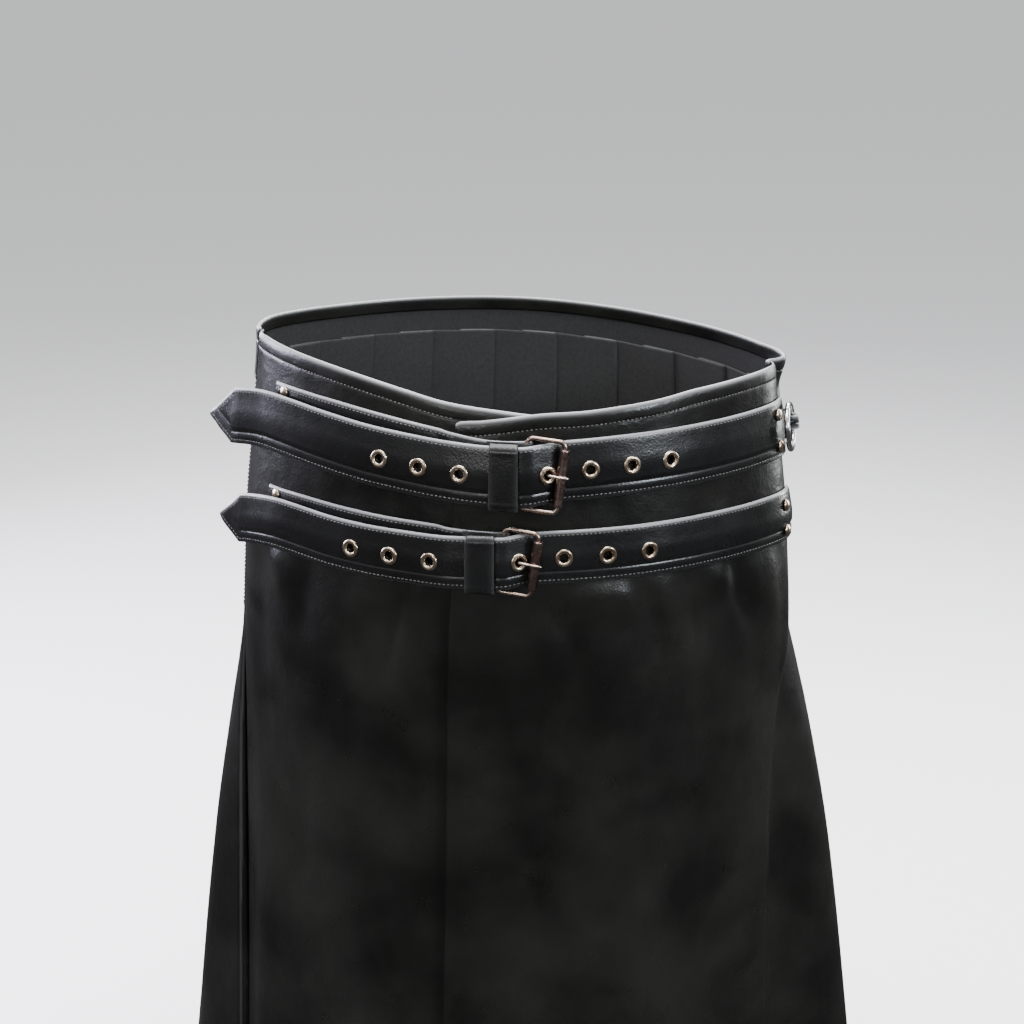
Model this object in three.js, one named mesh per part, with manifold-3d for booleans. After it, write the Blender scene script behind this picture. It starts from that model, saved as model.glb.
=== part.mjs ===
// A leather wrap kilt, worn shape, with two buckled straps across the front.
// Millimetres, +Z up. The origin is the middle of the waist; the front faces -Y.
// Places round the body are turns: 0 front middle, 1 the +X side, 2 back middle, 3 or -1 the -X side.
// Lift is the distance outside the body form, which is the outer face of the under apron.
import * as THREE from 'three';
import { mergeVertices } from 'three/addons/utils/BufferGeometryUtils.js';
import Module from 'manifold-3d';

const wasm = await Module();
wasm.setup();

// Driving dimensions
const WALL = 2.0;              // leather of the aprons
const PLEAT_WALL = 1.6;        // leather of the pleated back
const SEAM = 0.3;              // gap between pieces that touch
const HEM = -575;              // height of the lower edge
const FOLD_DEEP = 9.5;         // turned edge at the waist
const FOLD_THICK = 1.2;
const FREE_FOLD = 0.4;         // the same where the outer apron lies on the under one
const FOLD_STEP = 0.8;         // height over which a turned edge steps back to one layer
const HEM_DEEP = 22;           // turned edge at the hem
const SIDE_ROLL = 2.0;         // how far an apron's folded side edge turns in
const SIDE_ROLL_WIDE = 0.03;   // in turns
const FOLD_FADE = 0.075;       // in turns, where a turned edge thins out before a side seam
const OVERLAP_END = 0.30;      // turn where the under apron ends beneath the outer one
const FREE_EDGE_TOP = -0.131;  // turn of the outer apron's free edge at the waist and the hem
const FREE_EDGE_HEM = -0.160;

const BAND_DEEP = 37;          // waistband of the back
const BAND_LAP = 12;           // how far it covers the top of the pleats
const BAND_WALL = 1.7;
const BAND_COLUMNS = 60;
const PLEATS = 10;
const PLEAT_TUCK = 0.055;      // turns that the back reaches beneath each apron's edge

const STRAP_THIN = 2.6;        // strap at its edges
const STRAP_THICK = 3.6;       // strap at its padded middle
const STRAP_MARGIN = 8.5;      // flat margin along each edge
const PAD_START = 1.25;        // where the padding reaches its full height, in margins
const BUCKLE_STRAP_THICK = 2.4;
const BUCKLE_STRAP_REST = 0.4; // gap between it and the apron
const SKIVED = 1.5;            // leather thinned where it folds round the heel bar
const KEEPER_THICK = 1.8;
const KEEPER_WIDE = 17;
const KEEPER_ROOM = 1.9;       // over the strap, where an eyelet lies beneath

const WIRE = 1.6;              // radius of the buckle frame's wire
const ROLLER_RADIUS = 3.3;
const PRONG_RADIUS = 1.0;
const FRAME_MORE = 7.2;        // how much taller the frame is than its strap
const BUCKLE_LEAN = 8;         // degrees that each frame sits turned, top to the right
const EYELET_RADIUS = 6.1;
const EYELET_HOLE = 3.0;
const EYELET_BARREL = 3.6;
const SLOT_LONG = 11;          // the prong's slot in the folded buckle strap
const SLOT_HIGH = 4.2;
const PULLED_UP = 0.6;         // how far the prong lifts the eyelet in use
const RIVET_RADIUS = 4.2;
const RIVET_HEIGHT = 1.9;
const RING_RADIUS = 15.6;      // middle line of the side ring
const RING_WIRE = 1.9;
const RING_TAB_THICK = 1.6;
const RING_TAB_HALF = 5;       // half the height of the tab that holds the ring

// The ring on the +X side, and the turn where its tab ends behind it
const RING = { turn: 0.965, height: -48.5, lift: 7.2 };
const RING_TAB_END = 1.178;

// The body form: half widths, depths and the radius of the sides, from the waist down
const BODY = [
  { height: 30, frontWide: 178, backWide: 178, frontDeep: 112, backDeep: 111, side: 43 },
  { height: 0, frontWide: 180, backWide: 180, frontDeep: 115, backDeep: 114, side: 46 },
  { height: -50, frontWide: 185, backWide: 185, frontDeep: 121, backDeep: 118, side: 50 },
  { height: -100, frontWide: 191, backWide: 191, frontDeep: 125, backDeep: 122, side: 54 },
  { height: -150, frontWide: 194.5, backWide: 195, frontDeep: 127, backDeep: 126, side: 57 },
  { height: -190, frontWide: 196, backWide: 199, frontDeep: 128, backDeep: 130, side: 60 },
  { height: -230, frontWide: 195.5, backWide: 209, frontDeep: 129, backDeep: 137, side: 64 },
  { height: -277, frontWide: 195, backWide: 220, frontDeep: 130, backDeep: 146, side: 69 },
  { height: -380, frontWide: 197, backWide: 240, frontDeep: 133, backDeep: 163, side: 78 },
  { height: -575, frontWide: 204, backWide: 268, frontDeep: 139, backDeep: 190, side: 90 },
];

// Top edges, by turn
const UNDER_TOP = [
  { turn: -1.0, top: 14.5 }, { turn: -0.76, top: 11 }, { turn: -0.57, top: 7.4 },
  { turn: -0.42, top: 3 }, { turn: -0.29, top: -2.2 }, { turn: -0.17, top: -7.8 },
  { turn: 0, top: -12.5 }, { turn: 0.12, top: -15.5 }, { turn: 0.4, top: -17 },
];
const OUTER_TOP = [
  { turn: -0.14, top: -22 }, { turn: -0.118, top: -19.4 }, { turn: -0.06, top: -18.2 },
  { turn: 0, top: -16.4 }, { turn: 0.11, top: -13.3 }, { turn: 0.23, top: -12.4 },
  { turn: 0.34, top: -10.6 }, { turn: 0.47, top: -8.6 }, { turn: 0.6, top: -6 }, { turn: 1, top: -4 },
];
const BACK_TOP = [
  { turn: 0.88, top: -4.2 }, { turn: 1, top: -2.5 }, { turn: 1.09, top: 1 }, { turn: 1.3, top: 4 },
  { turn: 1.5, top: 6.5 }, { turn: 1.73, top: 10 }, { turn: 2, top: 13.5 }, { turn: 2.3, top: 15 },
  { turn: 2.6, top: 16 }, { turn: 2.9, top: 17.5 }, { turn: 3.02, top: 15.5 }, { turn: 3.15, top: 13.5 },
];

// Side edges of the aprons, by height
const SIDE_EDGES = [
  { height: 30, left: -0.955, right: 0.985 }, { height: -170, left: -0.955, right: 0.985 },
  { height: -200, left: -0.95, right: 0.955 }, { height: -230, left: -0.95, right: 0.915 },
  { height: -277, left: -0.945, right: 0.885 }, { height: -380, left: -0.93, right: 0.865 },
  { height: -575, left: -0.915, right: 0.85 },
];

// Soft folds of the hanging aprons: how far each stands out at the hem, and its half width in turns
const DRAPE_START = -165;
const DRAPE = [
  { turn: -0.80, out: 5, wide: 0.10 }, { turn: -0.52, out: -5, wide: 0.13 },
  { turn: -0.27, out: 4.5, wide: 0.09 }, { turn: 0.10, out: -4, wide: 0.12 },
  { turn: 0.36, out: 5.5, wide: 0.11 }, { turn: 0.63, out: -5.5, wide: 0.12 },
];

// How the pleats open, by height: depth between layers, and how far each is folded back
const PLEAT_OPEN = [
  { height: 30, layer: 2.1, under: 26, rise: 0 }, { height: -190, layer: 2.1, under: 26, rise: 0 },
  { height: -230, layer: 3.0, under: 27, rise: 0.8 }, { height: -277, layer: 4.2, under: 28, rise: 2 },
  { height: -380, layer: 6.0, under: 31, rise: 4 }, { height: -575, layer: 8.0, under: 35, rise: 6 },
];

// Each strap set: where its parts lie, by turn
const UPPER = {
  name: 'upper',
  height: 39.5,
  heel: 0.055, roller: 0.158, keeper: 0.006,
  eyelets: { first: -0.341, step: 0.1155, count: 8, used: 4 },
  tip: [
    { turn: -0.985, top: -26.5, lift: 29 }, { turn: -0.955, top: -25.5, lift: 23.5 },
    { turn: -0.90, top: -22, lift: 16 }, { turn: -0.80, top: -18.7, lift: 9 },
    { turn: -0.685, top: -19, lift: 6.2 }, { turn: -0.523, top: -22.5, lift: 4.2 },
    { turn: -0.387, top: -26, lift: 3.6 }, { turn: -0.266, top: -28.6, lift: 3.6 },
    { turn: -0.154, top: -30.6, lift: 5.7 }, { turn: -0.06, top: -31.8, lift: 7.9 },
    { turn: 0.01, top: -32, lift: 9.6 }, { turn: 0.05, top: -31.8, lift: 11.5 },
    { turn: 0.076, top: -31.4, lift: 10.9 }, { turn: 0.097, top: -31.1, lift: 8.6 },
    { turn: 0.121, top: -30.8, lift: 6.4 }, { turn: 0.145, top: -30.4, lift: 4.2 },
    { turn: 0.17, top: -30.1, lift: 3.1 }, { turn: 0.22, top: -29.6, lift: 2.9 },
    { turn: 0.33, top: -28.6, lift: 2.9 }, { turn: 0.58, top: -28, lift: 0.8 },
    { turn: 0.80, top: -27.8, lift: 0.4 }, { turn: 0.97, top: -27.5, lift: 0.4 },
  ],
  base: [
    { turn: -0.772, top: -12.8, lean: 0 }, { turn: -0.55, top: -14.4, lean: 0 },
    { turn: -0.41, top: -17.2, lean: 0 }, { turn: -0.28, top: -21, lean: 0 },
    { turn: -0.16, top: -25.3, lean: 0.03 }, { turn: -0.05, top: -29.8, lean: 0.10 },
    { turn: 0.055, top: -30.2, lean: 0.14 },
  ],
  rivets: [{ turn: -0.722, down: 5.2 }, { turn: -0.722, down: 33 }],
  endRivets: [{ turn: 0.905, down: 9 }, { turn: 0.905, down: 31 }],
};
const LOWER = {
  name: 'lower',
  height: 35.5,
  heel: -0.004, roller: 0.088, keeper: -0.052,
  eyelets: { first: -0.416, step: 0.1155, count: 8, used: 4 },
  tip: [
    { turn: -0.935, top: -98, lift: 17 }, { turn: -0.87, top: -96, lift: 12 },
    { turn: -0.80, top: -92.5, lift: 8.5 }, { turn: -0.70, top: -89.6, lift: 6.2 },
    { turn: -0.60, top: -90, lift: 4.6 }, { turn: -0.50, top: -91.6, lift: 3.8 },
    { turn: -0.37, top: -92.8, lift: 3.6 }, { turn: -0.256, top: -93.2, lift: 4.0 },
    { turn: -0.155, top: -92.8, lift: 7.4 }, { turn: -0.10, top: -92.3, lift: 8.2 },
    { turn: -0.05, top: -91.6, lift: 9.9 }, { turn: -0.008, top: -91, lift: 11.8 },
    { turn: 0.012, top: -90.8, lift: 11.2 }, { turn: 0.028, top: -90.5, lift: 9.0 },
    { turn: 0.046, top: -90.1, lift: 6.8 }, { turn: 0.07, top: -89.9, lift: 4.3 },
    { turn: 0.095, top: -89.7, lift: 3.1 }, { turn: 0.15, top: -89.3, lift: 2.9 },
    { turn: 0.33, top: -88.8, lift: 2.9 }, { turn: 0.58, top: -89.2, lift: 0.8 },
    { turn: 0.80, top: -90.2, lift: 0.4 }, { turn: 0.97, top: -91, lift: 0.4 },
  ],
  base: [
    { turn: -0.767, top: -84.8, lean: 0 }, { turn: -0.6, top: -84, lean: 0 },
    { turn: -0.457, top: -84.9, lean: 0 }, { turn: -0.33, top: -86.2, lean: 0 },
    { turn: -0.21, top: -87.4, lean: 0.03 }, { turn: -0.1, top: -89.6, lean: 0.10 },
    { turn: -0.004, top: -90.2, lean: 0.14 },
  ],
  rivets: [{ turn: -0.722, down: 5.2 }, { turn: -0.722, down: 30 }],
  endRivets: [{ turn: 0.905, down: 10 }, { turn: 0.905, down: 28 }],
};

// Leather and metals
const leather = (color, roughness) => new THREE.MeshStandardMaterial({ color, roughness, metalness: 0 });
const metal = (color, roughness) => new THREE.MeshStandardMaterial({ color, roughness, metalness: 1 });
const APRON_LEATHER = leather(0x1d1d1b, 0.42);
const BACK_LEATHER = leather(0x1b1b1a, 0.45);
const STRAP_LEATHER = leather(0x1a1b1b, 0.38);
const GUNMETAL = metal(0x6b5750, 0.32);
const BRASS = metal(0xc9a970, 0.3);
const SILVER = metal(0xd8d8d6, 0.22);

const degrees = THREE.MathUtils.degToRad;
const mix = THREE.MathUtils.lerp;
const smooth = (value, low, high) => THREE.MathUtils.smoothstep(value, low, high);

// Reads one column of a table by its key, along straight lines between the rows
function read(table, key, value, column) {
  const rising = table[1][key] > table[0][key];
  const after = table.findIndex((row) => (rising ? row[key] >= value : row[key] <= value));
  if (after === 0) return table[0][column];
  if (after < 0) return table[table.length - 1][column];
  const [low, high] = [table[after - 1], table[after]];
  return mix(low[column], high[column], (value - low[key]) / (high[key] - low[key]));
}

// Reads one column along a smooth curve through the rows
function readSmooth(table, key, value, column) {
  const last = table.length - 1;
  const clamped = THREE.MathUtils.clamp(value, table[0][key], table[last][key]);
  const after = Math.max(1, table.findIndex((row) => row[key] >= clamped));
  const [low, high] = [table[after - 1], table[after]];
  const slope = (i) => {
    if (i === 0 || i === last) return 0;
    const [before, next] = [table[i - 1], table[i + 1]];
    return (next[column] - before[column]) / (next[key] - before[key]);
  };
  const step = high[key] - low[key];
  const t = (clamped - low[key]) / step;
  const [t2, t3] = [t * t, t * t * t];
  return (2 * t3 - 3 * t2 + 1) * low[column] + (t3 - 2 * t2 + t) * step * slope(after - 1)
    + (3 * t2 - 2 * t3) * high[column] + (t3 - t2) * step * slope(after);
}

// One quarter of a section: a wide arc over the front or back that runs into a tight arc at the side
function quarter(wide, deep, side, share) {
  const radius = ((wide - side) ** 2 + deep ** 2 - side ** 2) / (2 * (deep - side));
  const meet = Math.asin((wide - side) / (radius - side));
  const length = radius * meet + side * (Math.PI / 2 - meet);
  const along = share * length;
  if (along < radius * meet) {
    const angle = along / radius;
    return { x: radius * Math.sin(angle), y: radius * Math.cos(angle) - radius + deep, angle, length };
  }
  const angle = meet + (along - radius * meet) / side;
  return { x: wide - side + side * Math.sin(angle), y: side * Math.cos(angle), angle, length };
}

// The section of the body form at a turn and height
function bodyAt(turn, height) {
  const wrapped = turn > 2 ? turn - 4 : turn;
  const hand = wrapped < 0 ? -1 : 1;
  const away = Math.abs(wrapped);
  const isFront = away <= 1;
  const flare = smooth(away, 0.88, 1.12);
  const column = (name) => read(BODY, 'height', height, name);
  const wide = mix(column('frontWide'), column('backWide'), flare);
  const deep = column(isFront ? 'frontDeep' : 'backDeep');
  const place = quarter(wide, deep, column('side'), isFront ? away : 2 - away);
  const facing = isFront ? -1 : 1;
  return {
    x: hand * place.x, y: facing * place.y, length: place.length,
    out: new THREE.Vector3(hand * Math.sin(place.angle), facing * Math.cos(place.angle), 0),
  };
}

// How far the soft folds move the hanging cloth out at a turn and height
function drapeAt(turn, height) {
  const share = THREE.MathUtils.clamp((DRAPE_START - height) / (DRAPE_START - HEM), 0, 1) ** 1.2;
  const bump = (fold) => fold.out * Math.exp(-(((turn - fold.turn) / fold.wide) ** 2));
  return share * DRAPE.reduce((sum, fold) => sum + bump(fold), 0);
}

// A point on the body form, moved out by lift
function onBody(turn, height, lift = 0) {
  const place = bodyAt(turn, height);
  return new THREE.Vector3(place.x, place.y, height).addScaledVector(place.out, lift + drapeAt(turn, height));
}

// A flat frame on the body form: x along the body towards +turn, y up along its slope, z out
function frameAt(turn, height, lift, leanDegrees = 0) {
  const up = onBody(turn, height + 12, lift).sub(onBody(turn, height - 12, lift)).normalize();
  const across = new THREE.Vector3().crossVectors(up, bodyAt(turn, height).out).normalize();
  const out = new THREE.Vector3().crossVectors(across, up);
  const frame = new THREE.Matrix4().makeBasis(across, up, out).setPosition(onBody(turn, height, lift));
  return frame.multiply(new THREE.Matrix4().makeRotationZ(degrees(-leanDegrees)));
}

// A closed wall between an outer and an inner grid of points, both [column][row]
function wallBetween(outer, inner) {
  const columns = outer.length;
  const rows = outer[0].length;
  const points = [...outer.flat(), ...inner.flat()];
  const outside = (c, r) => c * rows + r;
  const inside = (c, r) => columns * rows + c * rows + r;
  const faces = [];
  const quad = (a, b, c, d) => faces.push(a, b, c, a, c, d);
  for (let c = 0; c < columns - 1; c += 1) {
    for (let r = 0; r < rows - 1; r += 1) {
      quad(outside(c, r), outside(c, r + 1), outside(c + 1, r + 1), outside(c + 1, r));
      quad(inside(c, r), inside(c + 1, r), inside(c + 1, r + 1), inside(c, r + 1));
    }
    quad(outside(c, 0), outside(c + 1, 0), inside(c + 1, 0), inside(c, 0));
    quad(outside(c, rows - 1), inside(c, rows - 1), inside(c + 1, rows - 1), outside(c + 1, rows - 1));
  }
  for (let r = 0; r < rows - 1; r += 1) {
    const end = columns - 1;
    quad(outside(0, r), inside(0, r), inside(0, r + 1), outside(0, r + 1));
    quad(outside(end, r), outside(end, r + 1), inside(end, r + 1), inside(end, r));
  }
  const geometry = new THREE.BufferGeometry();
  geometry.setAttribute('position', new THREE.Float32BufferAttribute(points.flatMap((p) => p.toArray()), 3));
  geometry.setIndex(faces);
  return geometry;
}

// Heights of the rows of a panel under its top edge: the turned edge, the body and the hem
function panelHeights(top, levels) {
  const hemFold = HEM + HEM_DEEP;
  return [top, top - FOLD_DEEP, top - FOLD_DEEP - FOLD_STEP, ...levels, hemFold + FOLD_STEP, hemFold, HEM];
}

// Whether a row of a panel lies on its turned edge, as 1 or 0
function turned(row, rows) {
  return row < 2 || row > rows - 3 ? 1 : 0;
}

const APRON_LEVELS = [-50, -100, -150, -190, -230, -277, -380, -470];
const BACK_LEVELS = [-100, -190, -230, -277, -350, -450];

// How far the outer apron's outer face lies outside the body form
function outerApronLift(turn) {
  return mix(SEAM + WALL + 0.1, 0, smooth(turn, 0.35, 0.58));
}

// An apron: a curved wall between two side edges, whose folded side turns in.
// Its turned edges thicken it inwards, or outwards where foldOut is 1, over the other apron
function apron({ columns, edges, top, lift, foldOut, rolledSide }) {
  const outer = [];
  const inner = [];
  for (let c = 0; c <= columns; c += 1) {
    const share = rolledSide > 0 ? 1 - (1 - c / columns) ** 1.35 : (c / columns) ** 1.35;
    const rim = mix(edges(0)[0], edges(0)[1], share);
    const heights = panelHeights(readSmooth(top, 'turn', rim, 'top'), APRON_LEVELS);
    const faces = heights.map((height, row) => {
      const [left, right] = edges(height);
      const turn = mix(left, right, share);
      const inset = rolledSide > 0 ? right - turn : turn - left;
      const bend = THREE.MathUtils.clamp(1 - inset / SIDE_ROLL_WIDE, 0, 1);
      const base = lift(turn) - SIDE_ROLL * bend * bend;
      const full = mix(FOLD_THICK, FREE_FOLD, foldOut(turn));
      const fold = full * turned(row, heights.length) * smooth(inset, FOLD_FADE - 0.02, FOLD_FADE);
      const outside = base + fold * foldOut(turn);
      return [onBody(turn, height, outside), onBody(turn, height, outside - WALL - fold)];
    });
    outer.push(faces.map(([face]) => face));
    inner.push(faces.map(([, face]) => face));
  }
  return wallBetween(outer, inner);
}

function underApron() {
  const edges = (height) => [read(SIDE_EDGES, 'height', height, 'left'), OVERLAP_END];
  return apron({ columns: 22, edges, top: UNDER_TOP, lift: () => 0, foldOut: () => 0, rolledSide: -1 });
}

function outerApron() {
  const freeEdge = (height) => mix(FREE_EDGE_TOP, FREE_EDGE_HEM, height / HEM);
  const edges = (height) => [freeEdge(height), read(SIDE_EDGES, 'height', height, 'right')];
  const foldOut = (turn) => 1 - smooth(turn, 0.35, 0.58);
  return apron({ columns: 24, edges, top: OUTER_TOP, lift: outerApronLift, foldOut, rolledSide: 1 });
}

// The pleated back's middle line at a height: distance along the body in turns, and depth outside it
function pleatLine(height) {
  const start = read(SIDE_EDGES, 'height', height, 'right');
  const end = 4 + read(SIDE_EDGES, 'height', height, 'left');
  const layer = read(PLEAT_OPEN, 'height', height, 'layer');
  const rise = read(PLEAT_OPEN, 'height', height, 'rise');
  const perTurn = 1 / bodyAt(1.5, height).length;
  const under = read(PLEAT_OPEN, 'height', height, 'under') * perTurn;
  const soft = Math.min(layer, 3) * 0.55 * perTurn;
  const face = -PLEAT_WALL / 2 + rise;
  const deep = -WALL - SIDE_ROLL - SEAM - PLEAT_WALL / 2;
  const spacing = Math.max((face - deep) / 2, layer);
  const back = face - 2 * spacing;
  const wide = (end - start - 0.012) / PLEATS;
  const line = [{ turn: start - PLEAT_TUCK, depth: deep }, { turn: start + 0.004, depth: deep }];
  for (let k = 0; k < PLEATS; k += 1) {
    const from = start + wide * k;
    const fold = start + wide * (k + 1);
    line.push({ turn: mix(from, fold, 0.55), depth: mix(back, face, 0.72) });
    line.push({ turn: fold - soft, depth: face });
    line.push({ turn: fold, depth: face - spacing / 2 });
    line.push({ turn: fold - soft, depth: face - spacing });
    line.push({ turn: fold - under + soft, depth: face - spacing });
    line.push({ turn: fold - under, depth: face - spacing * 1.5 });
    line.push({ turn: fold - under + soft, depth: back });
    if (k < PLEATS - 1) line.push({ turn: fold + soft * 1.5, depth: back });
  }
  line.push({ turn: end + 0.01, depth: deep });
  line.push({ turn: end + PLEAT_TUCK, depth: deep });
  return line;
}

// The unit vector across a line at one of its points, in millimetres of turn and depth
function acrossLine(line, i, length) {
  const step = (a, b) => new THREE.Vector2((b.turn - a.turn) * length, b.depth - a.depth).normalize();
  const before = i > 0 ? step(line[i - 1], line[i]) : step(line[0], line[1]);
  const after = i < line.length - 1 ? step(line[i], line[i + 1]) : before;
  const along = before.clone().add(after).normalize();
  const miter = 1 / Math.max(0.6, Math.cos(before.angleTo(after) / 2));
  return new THREE.Vector2(-along.y, along.x).multiplyScalar(miter);
}

// A point beside a line, moved across it by a distance
function besideLine(line, i, distance, height) {
  const length = bodyAt(line[i].turn, height).length;
  const across = acrossLine(line, i, length);
  return onBody(line[i].turn + (across.x * distance) / length, height, line[i].depth + across.y * distance);
}

function pleatedBack() {
  const columns = pleatLine(0).length;
  const outer = [];
  const inner = [];
  for (let c = 0; c < columns; c += 1) {
    const rim = pleatLine(0)[c].turn;
    const heights = [read(BACK_TOP, 'turn', rim, 'top') - BAND_DEEP + BAND_LAP, ...BACK_LEVELS, HEM];
    outer.push(heights.map((height) => besideLine(pleatLine(height), c, PLEAT_WALL / 2, height)));
    inner.push(heights.map((height) => besideLine(pleatLine(height), c, -PLEAT_WALL / 2, height)));
  }
  return wallBetween(outer, inner);
}

// Half the gap between the waistband and each apron's side edge, in turns
const SIDE_GAP = 0.003;

// The waistband: a wall from side seam to side seam, over the top of the pleats, with a turned top edge
function backWaistband() {
  const from = read(SIDE_EDGES, 'height', 0, 'right') + SIDE_GAP;
  const to = 4 + read(SIDE_EDGES, 'height', 0, 'left') - SIDE_GAP;
  const outer = [];
  const inner = [];
  for (let c = 0; c <= BAND_COLUMNS; c += 1) {
    const turn = mix(from, to, c / BAND_COLUMNS);
    const top = read(BACK_TOP, 'turn', turn, 'top');
    const heights = [top, top - FOLD_DEEP, top - FOLD_DEEP - FOLD_STEP, top - BAND_DEEP];
    const outside = mix(-SIDE_ROLL, SEAM + BAND_WALL, smooth(turn, from, from + 0.05));
    const thick = (row) => BAND_WALL + (row < 2 ? FOLD_THICK : 0);
    outer.push(heights.map((height) => onBody(turn, height, outside)));
    inner.push(heights.map((height, row) => onBody(turn, height, outside - thick(row))));
  }
  return wallBetween(outer, inner);
}

// A strap swept along a path of stations; each has a turn, a lift for its middle layer, a top, a bottom,
// a lean, and profile rows that give the share of its height and how far each face lies from the middle
function ribbon(stations, centreHeight) {
  const length = bodyAt(0.2, centreHeight).length;
  const line = stations.map((s) => ({ turn: s.turn, depth: s.lift }));
  const face = (station, i, side) => station.profile.map(({ share, out, back }) => {
    const height = mix(station.bottom, station.top, share);
    const across = acrossLine(line, i, length).multiplyScalar(side > 0 ? out : -back);
    const leaned = station.turn + (station.lean * (height - centreHeight)) / length;
    return onBody(leaned + across.x / length, height, station.lift + across.y);
  }).reverse();
  const outer = stations.map((station, i) => face(station, i, 1));
  const inner = stations.map((station, i) => face(station, i, -1));
  return wallBetween(outer, inner);
}

// The profile of a padded strap of a given height, from its bottom to its top
function paddedProfile(height) {
  const margin = Math.min(STRAP_MARGIN, height * 0.32) / height;
  const middle = STRAP_THIN / 2;
  const padded = STRAP_THICK - middle;
  return [
    { share: 0, out: middle, back: middle }, { share: margin, out: middle, back: middle },
    { share: margin * PAD_START, out: padded, back: middle },
    { share: 1 - margin * PAD_START, out: padded, back: middle },
    { share: 1 - margin, out: middle, back: middle }, { share: 1, out: middle, back: middle },
  ];
}

function flatProfile(thick) {
  const half = thick / 2;
  return [0, 0.5, 1].map((share) => ({ share, out: half, back: half }));
}

// The top edge of a strap's tip part
const tipTop = (strap, turn) => readSmooth(strap.tip, 'turn', turn, 'top');
const tipLift = (strap, turn) => readSmooth(strap.tip, 'turn', turn, 'lift');

// The long strap from the +X side, through the buckle, to its pointed free tip
function tipStrap(strap) {
  const first = strap.tip[0].turn;
  const last = strap.tip[strap.tip.length - 1].turn;
  const pointEnd = first + 0.088;
  const turns = [];
  for (let k = 0; k <= 4; k += 1) turns.push(mix(first, pointEnd, k / 4));
  const stepAt = (turn) => {
    if (Math.abs(turn - strap.heel) < 0.13) return 0.02;
    return Math.abs(turn) > 0.78 ? 0.03 : 0.045;
  };
  for (let turn = pointEnd + 0.03; turn < last - 0.02; turn += stepAt(turn)) turns.push(turn);
  turns.push(last);
  const stations = turns.map((turn) => {
    const share = THREE.MathUtils.clamp((turn - first) / (pointEnd - first), 0, 1);
    const height = Math.max(2, strap.height * share);
    const middle = tipTop(strap, turn) - strap.height / 2;
    return {
      turn, lift: tipLift(strap, turn) + STRAP_THIN / 2, lean: 0,
      top: middle + height / 2, bottom: middle - height / 2, profile: paddedProfile(height),
    };
  });
  return ribbon(stations, strapMiddle(strap));
}

const strapMiddle = (strap) => tipTop(strap, strap.keeper) - strap.height / 2;

// Lift of the middle of the heel bar, with the skived leaf of the buckle strap beneath it
const LEAF_LIFT = SEAM + WALL + 0.8;
const BAR_ROOM = 0.95;
const HEEL_LIFT = LEAF_LIFT + SKIVED + BAR_ROOM + WIRE - 0.2;
const ROLLER_LIFT = 3.7 + STRAP_THICK + SEAM + ROLLER_RADIUS;

// The strap from the -X side, folded round the heel bar and back under the keeper
function buckleStrap(strap) {
  const length = bodyAt(0.2, strapMiddle(strap)).length;
  const loop = WIRE + BAR_ROOM + SKIVED / 2;
  const stations = [];
  const station = (turn, lift, thick) => {
    const place = Math.min(turn, strap.heel);
    const top = readSmooth(strap.base, 'turn', place, 'top');
    const lean = read(strap.base, 'turn', place, 'lean');
    stations.push({ turn, lift, lean, top, bottom: top - strap.height + 1.6, profile: flatProfile(thick) });
  };
  const first = strap.base[0].turn;
  const rise = FREE_EDGE_TOP - 0.02;
  const inside = BUCKLE_STRAP_REST + BUCKLE_STRAP_THICK / 2;
  const steps = 16;
  for (let k = 0; k <= steps; k += 1) {
    const turn = mix(first, rise - 0.03, k / steps);
    station(turn, inside, BUCKLE_STRAP_THICK);
  }
  const leaf = LEAF_LIFT + SKIVED / 2;
  const flat = 5;
  for (let k = 0; k <= flat; k += 1) station(mix(rise, strap.heel - 0.02, k / flat), leaf, SKIVED);
  for (let k = 0; k <= 6; k += 1) {
    const angle = degrees(-90 + 30 * k);
    station(strap.heel + (Math.cos(angle) * loop) / length, HEEL_LIFT + Math.sin(angle) * loop, SKIVED);
  }
  station(strap.heel - 0.02, leaf + SKIVED * 2 + 1.2, SKIVED);
  station(strap.heel - 0.045, leaf + SKIVED + 0.5, SKIVED);
  station(strap.heel - 0.105, leaf + SKIVED + 0.3, SKIVED);
  return ribbon(stations, strapMiddle(strap));
}

// Manifold helpers for the holes and the slot
function toSolid(geometry) {
  const plain = geometry.clone();
  plain.deleteAttribute('normal');
  plain.deleteAttribute('uv');
  const merged = mergeVertices(plain, 1e-4);
  return new wasm.Manifold(new wasm.Mesh({
    numProp: 3,
    vertProperties: new Float32Array(merged.attributes.position.array),
    triVerts: new Uint32Array(merged.index.array),
  }));
}

function fromSolid(solid) {
  const mesh = solid.getMesh();
  const geometry = new THREE.BufferGeometry();
  geometry.setAttribute('position', new THREE.BufferAttribute(mesh.vertProperties, 3));
  geometry.setIndex(new THREE.BufferAttribute(mesh.triVerts, 1));
  return geometry;
}

function cutAll(geometry, cutters) {
  return fromSolid(cutters.reduce((solid, cutter) => solid.subtract(toSolid(cutter)), toSolid(geometry)));
}

// Where an eyelet sits: its turn, height, and the lift of the strap's outer face there
function eyeletPlace(strap, k) {
  const turn = strap.eyelets.first + strap.eyelets.step * k;
  const pulled = k === strap.eyelets.used ? PULLED_UP : 0;
  const lift = tipLift(strap, turn) + STRAP_THICK + pulled;
  return { turn, height: tipTop(strap, turn) - strap.height / 2, lift };
}

// The strap's slope along the body at an eyelet, as an angle
function strapSlope(strap, turn) {
  const length = bodyAt(turn, -80).length;
  return Math.atan2(tipLift(strap, turn + 0.008) - tipLift(strap, turn - 0.008), 0.016 * length);
}

function eyeletFrame(strap, k) {
  const place = eyeletPlace(strap, k);
  const frame = frameAt(place.turn, place.height, place.lift);
  return frame.multiply(new THREE.Matrix4().makeRotationY(-strapSlope(strap, place.turn)));
}

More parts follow.
